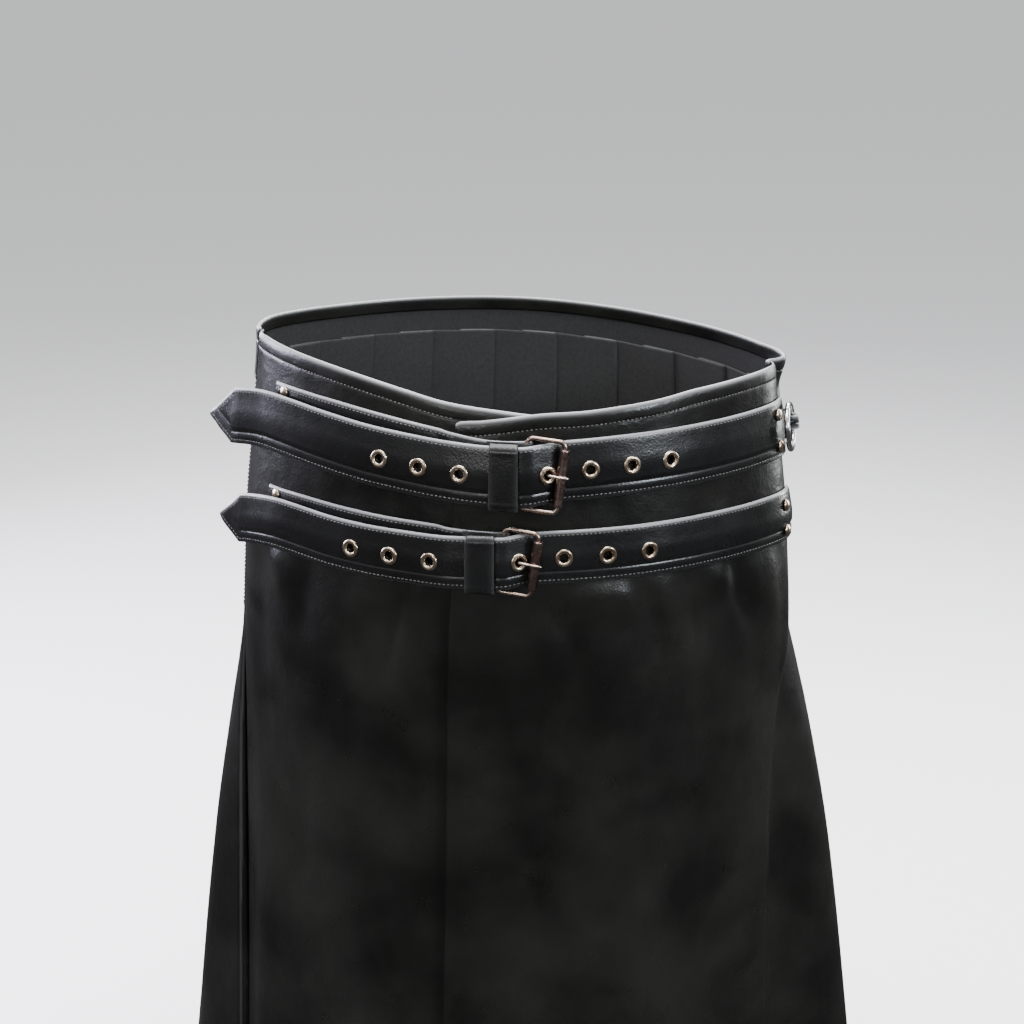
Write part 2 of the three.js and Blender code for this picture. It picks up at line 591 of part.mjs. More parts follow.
function strapHole() {
  const hole = new THREE.CylinderGeometry(EYELET_BARREL + SEAM, EYELET_BARREL + SEAM, 16, 10);
  return hole.rotateX(Math.PI / 2);
}

// A brass eyelet: a domed flange over a barrel that goes through the strap
function eyelet() {
  const profile = [
    new THREE.Vector2(EYELET_HOLE, -STRAP_THICK + 0.6), new THREE.Vector2(EYELET_BARREL, -STRAP_THICK + 0.6),
    new THREE.Vector2(EYELET_BARREL, SEAM), new THREE.Vector2(EYELET_RADIUS, SEAM),
    new THREE.Vector2(4.8, 1.5), new THREE.Vector2(EYELET_HOLE, 0.9),
    new THREE.Vector2(EYELET_HOLE, -STRAP_THICK + 0.6),
  ];
  return new THREE.LatheGeometry(profile, 10).rotateX(Math.PI / 2);
}

// A rivet's domed head, which lies on the leather
function rivet() {
  const profile = [
    new THREE.Vector2(0, 0), new THREE.Vector2(RIVET_RADIUS, 0), new THREE.Vector2(RIVET_RADIUS * 0.96, 0.5),
    new THREE.Vector2(RIVET_RADIUS * 0.66, RIVET_HEIGHT * 0.8), new THREE.Vector2(0, RIVET_HEIGHT),
  ];
  return new THREE.LatheGeometry(profile, 10).rotateX(Math.PI / 2);
}

// The buckle's own frame: heel bar on its left, roller bar on its right and farther out
function buckleFrame(strap) {
  const span = (strap.roller - strap.heel) * bodyAt(0.1, strapMiddle(strap)).length;
  const tall = strap.height + FRAME_MORE;
  const middle = (strap.heel + strap.roller) / 2;
  const tilt = Math.atan2(ROLLER_LIFT - HEEL_LIFT, span);
  const frame = frameAt(middle, strapMiddle(strap) + 0.6, (HEEL_LIFT + ROLLER_LIFT) / 2, BUCKLE_LEAN);
  frame.multiply(new THREE.Matrix4().makeRotationY(-tilt));
  return { span: span / Math.cos(tilt), tall, frame };
}

// The wire of the frame: a rectangle with rounded corners, as one closed curve
function frameWire({ span, tall }) {
  const corner = 4;
  const [halfWide, halfTall] = [span / 2, tall / 2];
  const points = [];
  const arc = (x, y, from) => {
    for (let k = 0; k <= 3; k += 1) {
      const angle = degrees(from + 30 * k);
      points.push(new THREE.Vector3(x + corner * Math.cos(angle), y + corner * Math.sin(angle), 0));
    }
  };
  const straight = (x, y) => points.push(new THREE.Vector3(x, y, 0));
  arc(halfWide - corner, halfTall - corner, 0);
  straight(0, halfTall);
  arc(-halfWide + corner, halfTall - corner, 90);
  straight(-halfWide, halfTall / 3);
  straight(-halfWide, -halfTall / 3);
  arc(-halfWide + corner, -halfTall + corner, 180);
  straight(0, -halfTall);
  arc(halfWide - corner, -halfTall + corner, 270);
  straight(halfWide, -halfTall / 3);
  straight(halfWide, halfTall / 3);
  const curve = new THREE.CatmullRomCurve3(points, true, 'centripetal');
  return new THREE.TubeGeometry(curve, 44, WIRE, 7, true);
}

function rollerTube({ span, tall }) {
  const half = tall / 2 - 4.6;
  const bore = WIRE + SEAM;
  const profile = [
    new THREE.Vector2(bore, -half), new THREE.Vector2(ROLLER_RADIUS - 0.5, -half),
    new THREE.Vector2(ROLLER_RADIUS, -half + 0.8), new THREE.Vector2(ROLLER_RADIUS, half - 0.8),
    new THREE.Vector2(ROLLER_RADIUS - 0.5, half), new THREE.Vector2(bore, half),
    new THREE.Vector2(bore, -half),
  ];
  return new THREE.LatheGeometry(profile, 12).translate(span / 2, 0, 0);
}

// The prong: hooked round the heel bar, under the strap, up through the eyelet and over the roller
function prong(strap, { span, frame }) {
  const hook = WIRE + SEAM + PRONG_RADIUS;
  const hole = new THREE.Vector3().setFromMatrixPosition(eyeletFrame(strap, strap.eyelets.used));
  hole.applyMatrix4(frame.clone().invert());
  const above = ROLLER_RADIUS + PRONG_RADIUS + SEAM;
  const [heel, roller] = [-span / 2, span / 2];
  const path = [
    { x: heel - hook * 0.7, z: -hook * 0.7 }, { x: heel - hook, z: 0 },
    { x: heel - hook * 0.6, z: hook * 0.8 }, { x: heel + hook * 0.3, z: hook },
    { x: heel + hook * 1.2, z: hook * 0.3 }, { x: hole.x - 4.2, z: hole.z - 4.6 },
    { x: hole.x - 1.6, z: hole.z - 4.2 }, { x: hole.x - 0.5, z: hole.z - 1.8 },
    { x: hole.x + 0.5, z: hole.z + 1.2 }, { x: roller - 3.2, z: above - 0.5 },
    { x: roller, z: above }, { x: roller + 5.2, z: above - 0.9 },
  ];
  const points = path.map(({ x, z }) => new THREE.Vector3(x, hole.y, z));
  const shape = new THREE.Shape().absarc(0, 0, PRONG_RADIUS, 0, Math.PI * 2);
  const extrudePath = new THREE.CatmullRomCurve3(points, false, 'centripetal');
  return new THREE.ExtrudeGeometry(shape, { steps: 28, extrudePath, bevelEnabled: false, curveSegments: 3 });
}

// The keeper: a band over the tip strap whose ends turn in behind its edges
function keeper(strap) {
  const length = bodyAt(0, strapMiddle(strap)).length;
  const half = KEEPER_WIDE / 2 / length;
  const columns = 5;
  const turnAt = (c) => mix(strap.keeper - half, strap.keeper + half, c / columns);
  const band = (turn, grow) => {
    const top = tipTop(strap, turn) + 0.5;
    const bottom = top - strap.height - 1.0;
    const behind = tipLift(strap, turn) - 1.0;
    const front = tipLift(strap, turn) + STRAP_THICK + KEEPER_ROOM;
    const bevel = 2.6 - grow * 0.5;
    const reach = [
      { height: top + grow, lift: behind }, { height: top + grow, lift: front - 3.4 },
      { height: top - bevel, lift: front + grow }, { height: bottom + bevel, lift: front + grow },
      { height: bottom - grow, lift: front - 3.4 }, { height: bottom - grow, lift: behind },
    ];
    return reach.map(({ height, lift }) => onBody(turn, height, lift));
  };
  const outer = [];
  const inner = [];
  for (let c = 0; c <= columns; c += 1) {
    outer.push(band(turnAt(c), KEEPER_THICK));
    inner.push(band(turnAt(c), 0));
  }
  return wallBetween(outer, inner);
}

// Where the ring's rear arm lies, beside the curved side of the body
function ringArm() {
  const radius = read(BODY, 'height', RING.height, 'side');
  const { length } = bodyAt(RING.turn, RING.height);
  const centre = radius + RING.lift;
  const turn = RING.turn + (radius * Math.atan2(RING_RADIUS, centre)) / length;
  return { turn, lift: Math.hypot(centre, RING_RADIUS) - radius };
}

function ringTab() {
  const arm = ringArm();
  const end = RING_TAB_END - arm.turn;
  const loop = RING_WIRE + 0.9 + RING_TAB_THICK / 2;
  const { length } = bodyAt(1.1, RING.height);
  const stations = [];
  const [top, bottom] = [RING.height + RING_TAB_HALF, RING.height - RING_TAB_HALF];
  const station = (turn, lift) => {
    stations.push({ turn, lift, lean: 0, top, bottom, profile: flatProfile(RING_TAB_THICK) });
  };
  station(arm.turn + end, 1.3);
  station(arm.turn + end * 0.66, 1.8);
  station(arm.turn + end * 0.33, 4.0);
  for (let k = 0; k <= 6; k += 1) {
    const angle = degrees(270 - 30 * k);
    station(arm.turn + (Math.cos(angle) * loop) / length, arm.lift + Math.sin(angle) * loop);
  }
  station(arm.turn + end * 0.33, 9.0);
  station(arm.turn + end * 0.66, 4.8);
  station(arm.turn + end, 3.3);
  return ribbon(stations.reverse(), RING.height);
}

// Assembly
const kilt = new THREE.Group();

function add(name, geometry, material, frame = null) {
  const mesh = new THREE.Mesh(geometry, material.clone());
  mesh.name = name;
  if (frame) mesh.applyMatrix4(frame);
  kilt.add(mesh);
}

add('under_apron', underApron(), APRON_LEATHER);
add('outer_apron', outerApron(), APRON_LEATHER);
add('pleated_back', pleatedBack(), BACK_LEATHER);
add('back_waistband', backWaistband(), BACK_LEATHER);

for (const strap of [UPPER, LOWER]) {
  const buckle = buckleFrame(strap);
  const holes = [];
  for (let k = 0; k < strap.eyelets.count; k += 1) {
    holes.push(strapHole().applyMatrix4(eyeletFrame(strap, k)));
    add(`${strap.name}_eyelet_${k + 1}`, eyelet(), BRASS, eyeletFrame(strap, k));
  }
  const slot = new THREE.BoxGeometry(SLOT_LONG, SLOT_HIGH, SLOT_LONG).translate(-buckle.span / 2, 0, 0);
  slot.applyMatrix4(buckle.frame);
  add(`${strap.name}_buckle_strap`, cutAll(buckleStrap(strap), [slot]), STRAP_LEATHER);
  add(`${strap.name}_tip_strap`, cutAll(tipStrap(strap), holes), STRAP_LEATHER);
  add(`${strap.name}_keeper`, keeper(strap), STRAP_LEATHER);
  add(`${strap.name}_buckle_frame`, frameWire(buckle), GUNMETAL, buckle.frame);
  add(`${strap.name}_roller`, rollerTube(buckle), GUNMETAL, buckle.frame);
  add(`${strap.name}_prong`, prong(strap, buckle), GUNMETAL, buckle.frame);
  strap.rivets.forEach(({ turn, down }, k) => {
    const height = readSmooth(strap.base, 'turn', turn, 'top') - down;
    const lift = BUCKLE_STRAP_REST + BUCKLE_STRAP_THICK + SEAM;
    add(`${strap.name}_left_rivet_${k + 1}`, rivet(), BRASS, frameAt(turn, height, lift));
  });
  strap.endRivets.forEach(({ turn, down }, k) => {
    const height = tipTop(strap, turn) - down;
    const thick = down > STRAP_MARGIN ? STRAP_THICK : STRAP_THIN;
    const lift = tipLift(strap, turn) + thick + SEAM;
    add(`${strap.name}_right_rivet_${k + 1}`, rivet(), BRASS, frameAt(turn, height, lift));
  });
}

const ring = new THREE.TorusGeometry(RING_RADIUS, RING_WIRE, 7, 24);
add('side_ring', ring, SILVER, frameAt(RING.turn, RING.height, RING.lift));
add('ring_tab', ringTab(), STRAP_LEATHER);
add('ring_tab_rivet', rivet(), BRASS, frameAt(RING_TAB_END - 0.022, RING.height, 4.9 + SEAM / 3));

export default kilt;
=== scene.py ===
"""A black leather wrap kilt: aprons, pleated back, waistband, buckled straps and a side ring.

Sizes inside the classes are in millimetres, and the meshes are made in metres.
Places round the body are turns: 0 front middle, 1 the +X side, 2 back middle, 3 or -1 the -X side.
Lift is the distance outside the body form, which is the outer face of the under apron.
"""
import logging
import math
from dataclasses import dataclass
from enum import Enum

import bmesh
import bpy
import numpy as np
from mathutils import Matrix, Vector


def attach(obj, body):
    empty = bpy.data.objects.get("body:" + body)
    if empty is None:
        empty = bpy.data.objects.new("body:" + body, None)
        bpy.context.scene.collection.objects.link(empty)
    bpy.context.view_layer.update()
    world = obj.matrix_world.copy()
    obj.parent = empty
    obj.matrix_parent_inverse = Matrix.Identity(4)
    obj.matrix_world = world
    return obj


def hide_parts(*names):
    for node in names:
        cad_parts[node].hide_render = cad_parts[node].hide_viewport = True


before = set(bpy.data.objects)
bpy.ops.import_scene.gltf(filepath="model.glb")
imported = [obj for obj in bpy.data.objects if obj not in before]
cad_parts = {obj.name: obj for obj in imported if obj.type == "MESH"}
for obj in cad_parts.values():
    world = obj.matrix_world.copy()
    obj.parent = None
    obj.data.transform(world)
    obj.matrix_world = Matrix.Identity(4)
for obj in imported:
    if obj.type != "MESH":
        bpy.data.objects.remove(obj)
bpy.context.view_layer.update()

Array = np.ndarray
Frame = Matrix

log = logging.getLogger("kilt")

METRES = 0.001
BODY = "root"
TURN_LENGTH = 227.0      # a quarter of the way round the hips


class Slot(Enum):
    """The record's material slots."""

    APRON = "apron_leather"
    BACK = "back_leather"
    STRAP = "strap_leather"
    GUNMETAL = "gunmetal"
    BRASS = "brass"
    SILVER = "ring_silver"


class Held(Enum):
    """How a sheet of leather is held."""

    HUNG = "hung"
    FOLDED = "folded"
    STRETCHED = "stretched"


# Numbers and tables.


def smoothstep(value: Array, low: float, high: float) -> Array:
    """Returns 0 below low, 1 above high and a soft step between."""
    share = np.clip((np.asarray(value, float) - low) / (high - low), 0.0, 1.0)
    return share * share * (3.0 - 2.0 * share)


def mix(start: Array, end: Array, share: Array) -> Array:
    """Blends two values."""
    return start + (end - start) * share


def bump(value: Array, centre: float, wide: float) -> Array:
    """Returns a soft hump of height 1."""
    return np.exp(-(((value - centre) / wide) ** 2))


def distances(line: Array) -> Array:
    """Returns how far each point lies along its line."""
    return np.concatenate([[0], np.cumsum(np.linalg.norm(np.diff(line, axis=0), axis=1))])


def flat_normals(line: Array) -> Array:
    """Returns the left-hand normals of flat lines.

    Args:
        line: Points, [..., point, 2].

    Returns:
        A direction of length 1 at each point.
    """
    along = np.gradient(line, axis=-2)
    along /= np.linalg.norm(along, axis=-1, keepdims=True)
    return np.stack([-along[..., 1], along[..., 0]], -1)


class Table:
    """A short table with named columns, read by its first one."""

    def __init__(self, names: str, *rows: tuple[float, ...]) -> None:
        """Keeps the columns.

        Args:
            names: Names of the columns, the key first.
            rows: The rows, in rising order of the key.
        """
        values = np.array(rows, float).T
        self.key = values[0]
        self.columns = dict(zip(names.split()[1:], values[1:]))

    def line(self, value: Array, column: str) -> Array:
        """Reads a column along straight lines between the rows."""
        return np.interp(value, self.key, self.columns[column])

    def curve(self, value: Array, column: str, flat_ends: bool = True) -> Array:
        """Reads a column along a smooth curve through the rows.

        Args:
            value: Key values.
            column: Name of the column.
            flat_ends: Whether the curve is level at both ends.

        Returns:
            The column's values there.
        """
        keys, values = self.key, self.columns[column]
        slope = np.zeros_like(values)
        slope[1:-1] = (values[2:] - values[:-2]) / (keys[2:] - keys[:-2])
        if not flat_ends:
            slope[0] = (values[1] - values[0]) / (keys[1] - keys[0])
            slope[-1] = (values[-1] - values[-2]) / (keys[-1] - keys[-2])
        held = np.clip(value, keys[0], keys[-1])
        after = np.clip(np.searchsorted(keys, held), 1, len(keys) - 1)
        step = keys[after] - keys[after - 1]
        t = (held - keys[after - 1]) / step
        low, high = values[after - 1], values[after]
        return (
            (2 * t**3 - 3 * t**2 + 1) * low
            + (t**3 - 2 * t**2 + t) * step * slope[after - 1]
            + (3 * t**2 - 2 * t**3) * high
            + (t**3 - t**2) * step * slope[after]
        )


# Driving dimensions, as in the part's source.
WALL = 2.0               # leather of the aprons
PLEAT_WALL = 1.6         # leather of the pleated back
SEAM = 0.3               # gap between pieces that touch
HEM = -575.0             # height of the lower edge
FOLD_DEEP = 9.5          # turned edge at the waist
FOLD_THICK = 1.2
FREE_FOLD = 0.4          # the same where the outer apron lies on the under one
FOLD_STEP = 0.9          # distance in which a turned edge steps down to one layer
HEM_DEEP = 22.0          # turned edge at the hem
HEM_SEAM = 21.5          # stitches of the turned hem, above the edge
RIM_HIGHLIGHT = 1.5           # how far the painted highlight reaches down from a rim
FREE_TOP = -0.131        # turn of the outer apron's free edge at the waist and the hem
FREE_HEM = -0.160
OVERLAP_END = 0.30       # turn where the under apron ends beneath the outer one
SIDE_ROLL = 2.0          # how far an apron's folded side edge turns in
SIDE_ROLL_WIDE = 0.03    # in turns
FOLD_FADE = 0.075        # in turns, where a turned edge thins out before a side seam
SIDE_GAP = 0.003         # in turns, between an apron's side and the end of the band
BAND_DEEP = 37.0         # waistband of the back
BAND_LAP = 12.0          # how far it covers the top of the pleats
BAND_WALL = 1.7
BAND_SEAM = 34.0         # its lower stitches, below the rim
PLEATS = 10
PLEAT_CORNERS = 8        # corners of the folded line in each pleat
PLEAT_TUCK = 0.055       # in turns, how far the back reaches beneath each apron's edge
FELL = -190.0            # height down to which the pleats are stitched
STRAP_THIN = 2.6         # strap at its edges
STRAP_THICK = 3.6        # strap at its padded middle
STRAP_MARGIN = 8.5       # flat margin along each edge
BUCKLE_STRAP_THICK = 2.4
BUCKLE_STRAP_REST = 0.4  # gap between it and the apron
SKIVED = 1.5             # leather thinned where it folds round the heel bar

# Top edges, by turn.
UNDER_TOP = Table(
    "turn top",
    (-1.0, 14.5), (-0.76, 11), (-0.57, 7.4), (-0.42, 3), (-0.29, -2.2), (-0.17, -7.8),
    (0, -12.5), (0.12, -15.5), (0.4, -17),
)
OUTER_TOP = Table(
    "turn top",
    (-0.14, -22), (-0.118, -19.4), (-0.06, -18.2), (0, -16.4), (0.11, -13.3), (0.23, -12.4),
    (0.34, -10.6), (0.47, -8.6), (0.6, -6), (1, -4),
)
BACK_TOP = Table(
    "turn top",
    (0.88, -4.2), (1, -2.5), (1.09, 1), (1.3, 4), (1.5, 6.5), (1.73, 10), (2, 13.5), (2.3, 15),
    (2.6, 16), (2.9, 17.5), (3.02, 15.5), (3.15, 13.5),
)
# Side edges of the aprons and the free edge of the outer one, by height.
SIDE_EDGES = Table(
    "height left right free",
    (-575, -0.915, 0.85, -0.160), (-380, -0.93, 0.865, -0.150), (-277, -0.945, 0.885, -0.145),
    (-230, -0.95, 0.915, -0.143), (-200, -0.95, 0.955, -0.141), (-170, -0.955, 0.985, -0.1396),
    (30, -0.955, 0.985, -0.1295),
)
# How the pleats open: depth between layers, how far each is folded back, and its rise.
PLEAT_OPEN = Table(
    "height layer under rise",
    (-575, 8.0, 35, 6), (-380, 6.0, 31, 4), (-277, 4.2, 28, 2), (-230, 3.0, 27, 0.8),
    (-190, 2.1, 26, 0), (30, 2.1, 26, 0),
)


# The worn form.


@dataclass(frozen=True)
class Section:
    """Points of the body form's section: place, outward direction and a quarter's length."""

    x: Array
    y: Array
    out_x: Array
    out_y: Array
    length: Array


@dataclass(frozen=True)
class Drape:
    """A soft fold of the hanging aprons."""

    turn: float
    out: float
    wide: float


@dataclass
class BodyForm:
    """The shape over which the kilt is worn, from the waist down."""

    rows: Table
    drapes: tuple[Drape, ...]
    drape_start: float = -165.0
    soften: float = 0.03

    def sharp_section(self, turn: Array, height: Array) -> Section:
        """Works out the section, an oval of four arcs.

        Args:
            turn: Places round the body.
            height: Heights.

        Returns:
            The points there, with sharp joins between the arcs.
        """
        wrapped = np.where(turn > 2, turn - 4, turn)
        hand = np.where(wrapped < 0, -1.0, 1.0)
        away = np.abs(wrapped)
        in_front = away <= 1
        read = lambda name: self.rows.curve(height, name, flat_ends=False)
        wide = mix(read("front_wide"), read("back_wide"), smoothstep(away, 0.88, 1.12))
        deep = np.where(in_front, read("front_deep"), read("back_deep"))
        side = read("side")
        radius = ((wide - side) ** 2 + deep**2 - side**2) / (2 * (deep - side))
        meet = np.arcsin((wide - side) / (radius - side))
        length = radius * meet + side * (math.pi / 2 - meet)
        along = np.where(in_front, away, 2 - away) * length
        on_wide = along < radius * meet
        angle = np.where(on_wide, along / radius, meet + (along - radius * meet) / side)
        x = np.where(on_wide, radius * np.sin(angle), wide - side + side * np.sin(angle))
        y = np.where(on_wide, radius * np.cos(angle) - radius + deep, side * np.cos(angle))
        facing = np.where(in_front, -1.0, 1.0)
        return Section(hand * x, facing * y, hand * np.sin(angle), facing * np.cos(angle), length)

    def turn_length(self, turn: float, height: Array) -> Array:
        """Returns the length of a turn at heights, on the arcs where this turn lies."""
        height = np.asarray(height, float)
        return self.sharp_section(np.full_like(height, turn), height).length

    def section(self, turn: Array, height: Array) -> Section:
        """Works out the section with the joins of its arcs softened.

        Args:
            turn: Places round the body.
            height: Heights.

        Returns:
            The points there.
        """
        here = self.sharp_section(turn, height)
        sides = [self.sharp_section(turn + d, height) for d in (-self.soften, self.soften)]
        blend = lambda name: (
            2 * getattr(here, name) + getattr(sides[0], name) + getattr(sides[1], name)
        ) / 4
        out_x, out_y = blend("out_x"), blend("out_y")
        size = np.hypot(out_x, out_y)
        return Section(blend("x"), blend("y"), out_x / size, out_y / size, here.length)

    def drape(self, turn: Array, height: Array) -> Array:
        """Returns how far the soft folds move hanging leather out."""
        share = np.clip((self.drape_start - height) / (self.drape_start - HEM), 0, 1) ** 1.2
        return share * sum(fold.out * bump(turn, fold.turn, fold.wide) for fold in self.drapes)

    def point(self, turn: Array, height: Array, lift: Array = 0.0) -> Array:
        """Finds points on, over or under the hanging leather.

        Args:
            turn: Places round the body.
            height: Heights.
            lift: Distances outside the form.

        Returns:
            Points in millimetres, with the coordinates last.
        """
        turn, height, lift = np.broadcast_arrays(
            np.asarray(turn, float), np.asarray(height, float), np.asarray(lift, float)
        )
        place = self.section(turn, height)
        moved = lift + self.drape(turn, height)
        return np.stack([place.x + place.out_x * moved, place.y + place.out_y * moved, height], -1)

    def frame(self, turn: float, height: float, lift: float, lean: float = 0.0) -> Frame:
        """Finds a frame on the body for a flat part: x along the body, y up its slope and z out.

        Args:
            turn: Place round the body.
            height: Height.
            lift: Distance outside the form.
            lean: Degrees that it is turned, top to the right.

        Returns:
            The frame, in millimetres.
        """
        high, low, here = (Vector(self.point(turn, height + d, lift)) for d in (12, -12, 0))
        up = (high - low).normalized()
        place = self.section(np.array(turn), np.array(height))
        across = up.cross(Vector((float(place.out_x), float(place.out_y), 0))).normalized()
        out = across.cross(up)
        basis = Matrix((across, up, out)).transposed().to_4x4()
        return Matrix.Translation(here) @ basis @ Matrix.Rotation(math.radians(-lean), 4, "Z")


@dataclass(frozen=True)
class Crease:
    """A soft trough or ridge in hanging leather."""

    turn: float
    height: float
    long: float
    wide: float
    deep: float
    slant: float = 0.0
    bow: float = 0.0

    def lift(self, turn: Array, height: Array) -> Array:
        """Works out how far the crease moves the leather out.

        Args:
            turn: Places round the body.
            height: Heights.

        Returns:
            Distances, below 0 in a trough.
        """
        across = (turn - self.turn) * TURN_LENGTH
        along = height - self.height
        lean = math.radians(self.slant)
        beside = across * math.cos(lean) + along * math.sin(lean)
        down = along * math.cos(lean) - across * math.sin(lean)
        beside = beside + self.bow * (down / self.long) ** 2
        return self.deep * np.exp(-((beside / self.wide) ** 2) - np.abs(down / self.long) ** 3)


def creased(creases: tuple[Crease, ...], turn: Array, height: Array) -> Array:
    """Adds up creases; beside the tight straps the leather moves inwards only.

    Args:
        creases: The creases of one panel.
        turn: Places round the body.
        height: Heights.

    Returns:
        How far they move the leather out.
    """
    total = sum((c.lift(turn, height) for c in creases), np.zeros(np.broadcast(turn, height).shape))
    free = smoothstep(-np.asarray(height, float), 122, 134)
    return np.where(total > 0, total * free, total)


# Meshes.


def grid_faces(index: Array, flip: bool = False) -> Array:
    """Lists the quads of a grid.

    Args:
        index: Vertex numbers, as [column][row].
        flip: Whether the faces point the other way.

    Returns:
        Four vertex numbers for each quad.
    """
    a, b = index[:-1, :-1], index[:-1, 1:]
    c, d = index[1:, 1:], index[1:, :-1]
    order = (a, d, c, b) if flip else (a, b, c, d)
    return np.stack(order, -1).reshape(-1, 4)


def make_piece(
    name: str,
    points: Array,
    faces: Array,
    materials: list[bpy.types.Material],
    chosen: Array | None = None,
    wear_and_highlight: Array | None = None,
    solid: bool = False,
) -> bpy.types.Object:
    """Makes a smooth mesh object.

    Args:
        name: Name of the object.
        points: Vertices in millimetres.
        faces: Vertex numbers of each face.
        materials: Its materials.
        chosen: Material number of each face.
        wear_and_highlight: How much of the light edge colour each vertex has, from 0 to 1: painted highlight
            along rims and top edges, and a little edge wear.
        solid: Whether it is one plain closed surface, whose poles are joined and faces turned out.

    Returns:
        The object, at the origin.
    """
    mesh = bpy.data.meshes.new(name)
    faces = faces.tolist() if isinstance(faces, np.ndarray) else faces
    mesh.from_pydata((np.asarray(points) * METRES).tolist(), [], faces)
    if solid:
        work = bmesh.new()
        work.from_mesh(mesh)
        bmesh.ops.remove_doubles(work, verts=work.verts, dist=1e-7)
        bmesh.ops.dissolve_degenerate(work, edges=work.edges, dist=1e-8)
        bmesh.ops.recalc_face_normals(work, faces=work.faces)
        work.to_mesh(mesh)
        work.free()
    for material in materials:
        mesh.materials.append(material)
    if chosen is not None:
        mesh.polygons.foreach_set("material_index", np.asarray(chosen, np.int32))
    mesh.polygons.foreach_set("use_smooth", np.ones(len(mesh.polygons), bool))
    # the light edge colour's mask: painted highlight along rims and top edges, and a little edge wear
    values = mesh.attributes.new("wear_and_highlight", "FLOAT", "POINT")
    if wear_and_highlight is not None:
        values.data.foreach_set("value", np.asarray(wear_and_highlight, np.float32))
    mesh.update()
    piece = bpy.data.objects.new(name, mesh)
    bpy.context.scene.collection.objects.link(piece)
    return piece


def make_shell(
    name: str,
    outer: Array,
    inner: Array,
    materials: list[bpy.types.Material],
    lined: Array | None = None,
    wear_and_highlight: Array | None = None,
) -> bpy.types.Object:
    """Joins two grids, [column][row], that meet at their borders into one closed wall.

    Args:
        name: Name of the object.
        outer: Outer points.
        inner: Inner points.
        materials: The leather and, where there is a lined mask, its flesh side.
        lined: Whether the inner face at each point shows the flesh side.
        wear_and_highlight: How much of the light edge colour each outer point has: painted highlight, with a
            little wear.

    Returns:
        The wall, as one object.
    """
    columns, rows = outer.shape[:2]
    outside = np.arange(columns * rows).reshape(columns, rows)
    inside = outside.copy()
    count = (columns - 2) * (rows - 2)
    inside[1:-1, 1:-1] = outside.size + np.arange(count).reshape(columns - 2, rows - 2)
    points = np.concatenate([outer.reshape(-1, 3), inner[1:-1, 1:-1].reshape(-1, 3)])
    faces = np.concatenate([grid_faces(outside), grid_faces(inside, flip=True)])
    chosen = np.zeros(len(faces), int)
    if lined is not None:
        chosen[len(faces) // 2:] = lined[:-1, :-1].reshape(-1)
    # painted highlight along rims and top edges, with a little edge wear, for both faces
    worn_and_highlit = None
    if wear_and_highlight is not None:
        worn_and_highlit = np.concatenate([wear_and_highlight.reshape(-1), wear_and_highlight[1:-1, 1:-1].reshape(-1)])
    return make_piece(name, points, faces, materials, chosen, worn_and_highlit)


def rounded(outside: Array, inside: Array, from_edge: Array) -> tuple[Array, Array]:
    """Draws two faces together over the last half thickness before an edge.

    Args:
        outside: Distances of the outer face.
        inside: Distances of the inner face.
        from_edge: Distance of each point from the nearest edge.

    Returns:
        The distances of both faces, the same at the edge.
    """
    half = (outside - inside) / 2
    middle = (outside + inside) / 2
    reach = np.clip(from_edge / np.maximum(half, 1e-6), 0, 1)
    share = np.sqrt(np.clip(1 - (1 - reach) ** 2, 0, 1))
    return middle + half * share, middle - half * share


def tube(
    line: Array, radius: Array, around: int, plane: Vector, closed: bool = False
) -> tuple[Array, Array]:
    """Sweeps a round section along a flat line.

    Args:
        line: Points of the middle line.
        radius: Radius, or one for each point.
        around: Faces round the section.
        plane: Normal of the plane in which the line lies.
        closed: Whether the line is a loop; otherwise its ends are capped.

    Returns:
        Points and faces.
    """
    line = np.asarray(line, float)
    if closed:
        along = np.roll(line, -1, 0) - np.roll(line, 1, 0)
    else:
        along = np.gradient(line, axis=0)
    along /= np.linalg.norm(along, axis=1, keepdims=True)
    flat = np.array(plane)
    side = np.cross(flat, along)
    radius = np.broadcast_to(np.asarray(radius, float), (len(line),))
    angle = np.arange(around) * 2 * math.pi / around
    ring = (
        side[:, None] * np.cos(angle)[None, :, None] + flat[None, None] * np.sin(angle)[None, :, None]
    )
    points = (line[:, None] + ring * radius[:, None, None]).reshape(-1, 3)
    index = np.arange(len(points)).reshape(len(line), around)
    index = np.concatenate([index, index[:, :1]], 1)
    if closed:
        index = np.concatenate([index, index[:1]], 0)
    faces = grid_faces(index, flip=True).tolist()
    if not closed:
        faces.append(index[0, :-1].tolist())
        faces.append(index[-1, :-1][::-1].tolist())
    return points, faces


def lathe(profile: list[tuple[float, float]], around: int) -> tuple[Array, list]:
    """Turns a closed profile round the z axis.

    Args:
        profile: Corners as (radius, height).
        around: Number of faces round the axis.

    Returns:
        Points and faces.
    """
    profile = np.array(profile, float)
    angle = np.arange(around) * 2 * math.pi / around
    radius, height = profile[:, 0][None], profile[:, 1][None]
    points = np.stack(
        [radius * np.cos(angle)[:, None], radius * np.sin(angle)[:, None],
         np.broadcast_to(height, (around, len(profile)))], -1,
    )
    index = np.arange(points.size // 3).reshape(around, len(profile))
    index = np.concatenate([index, index[:1]], 0)
    index = np.concatenate([index, index[:, :1]], 1)
    return points.reshape(-1, 3), grid_faces(index, flip=True).tolist()


def placed(points: Array, place: Frame) -> Array:
    """Moves points by a frame."""
    matrix = np.array(place)
    return points @ matrix[:3, :3].T + matrix[:3, 3]


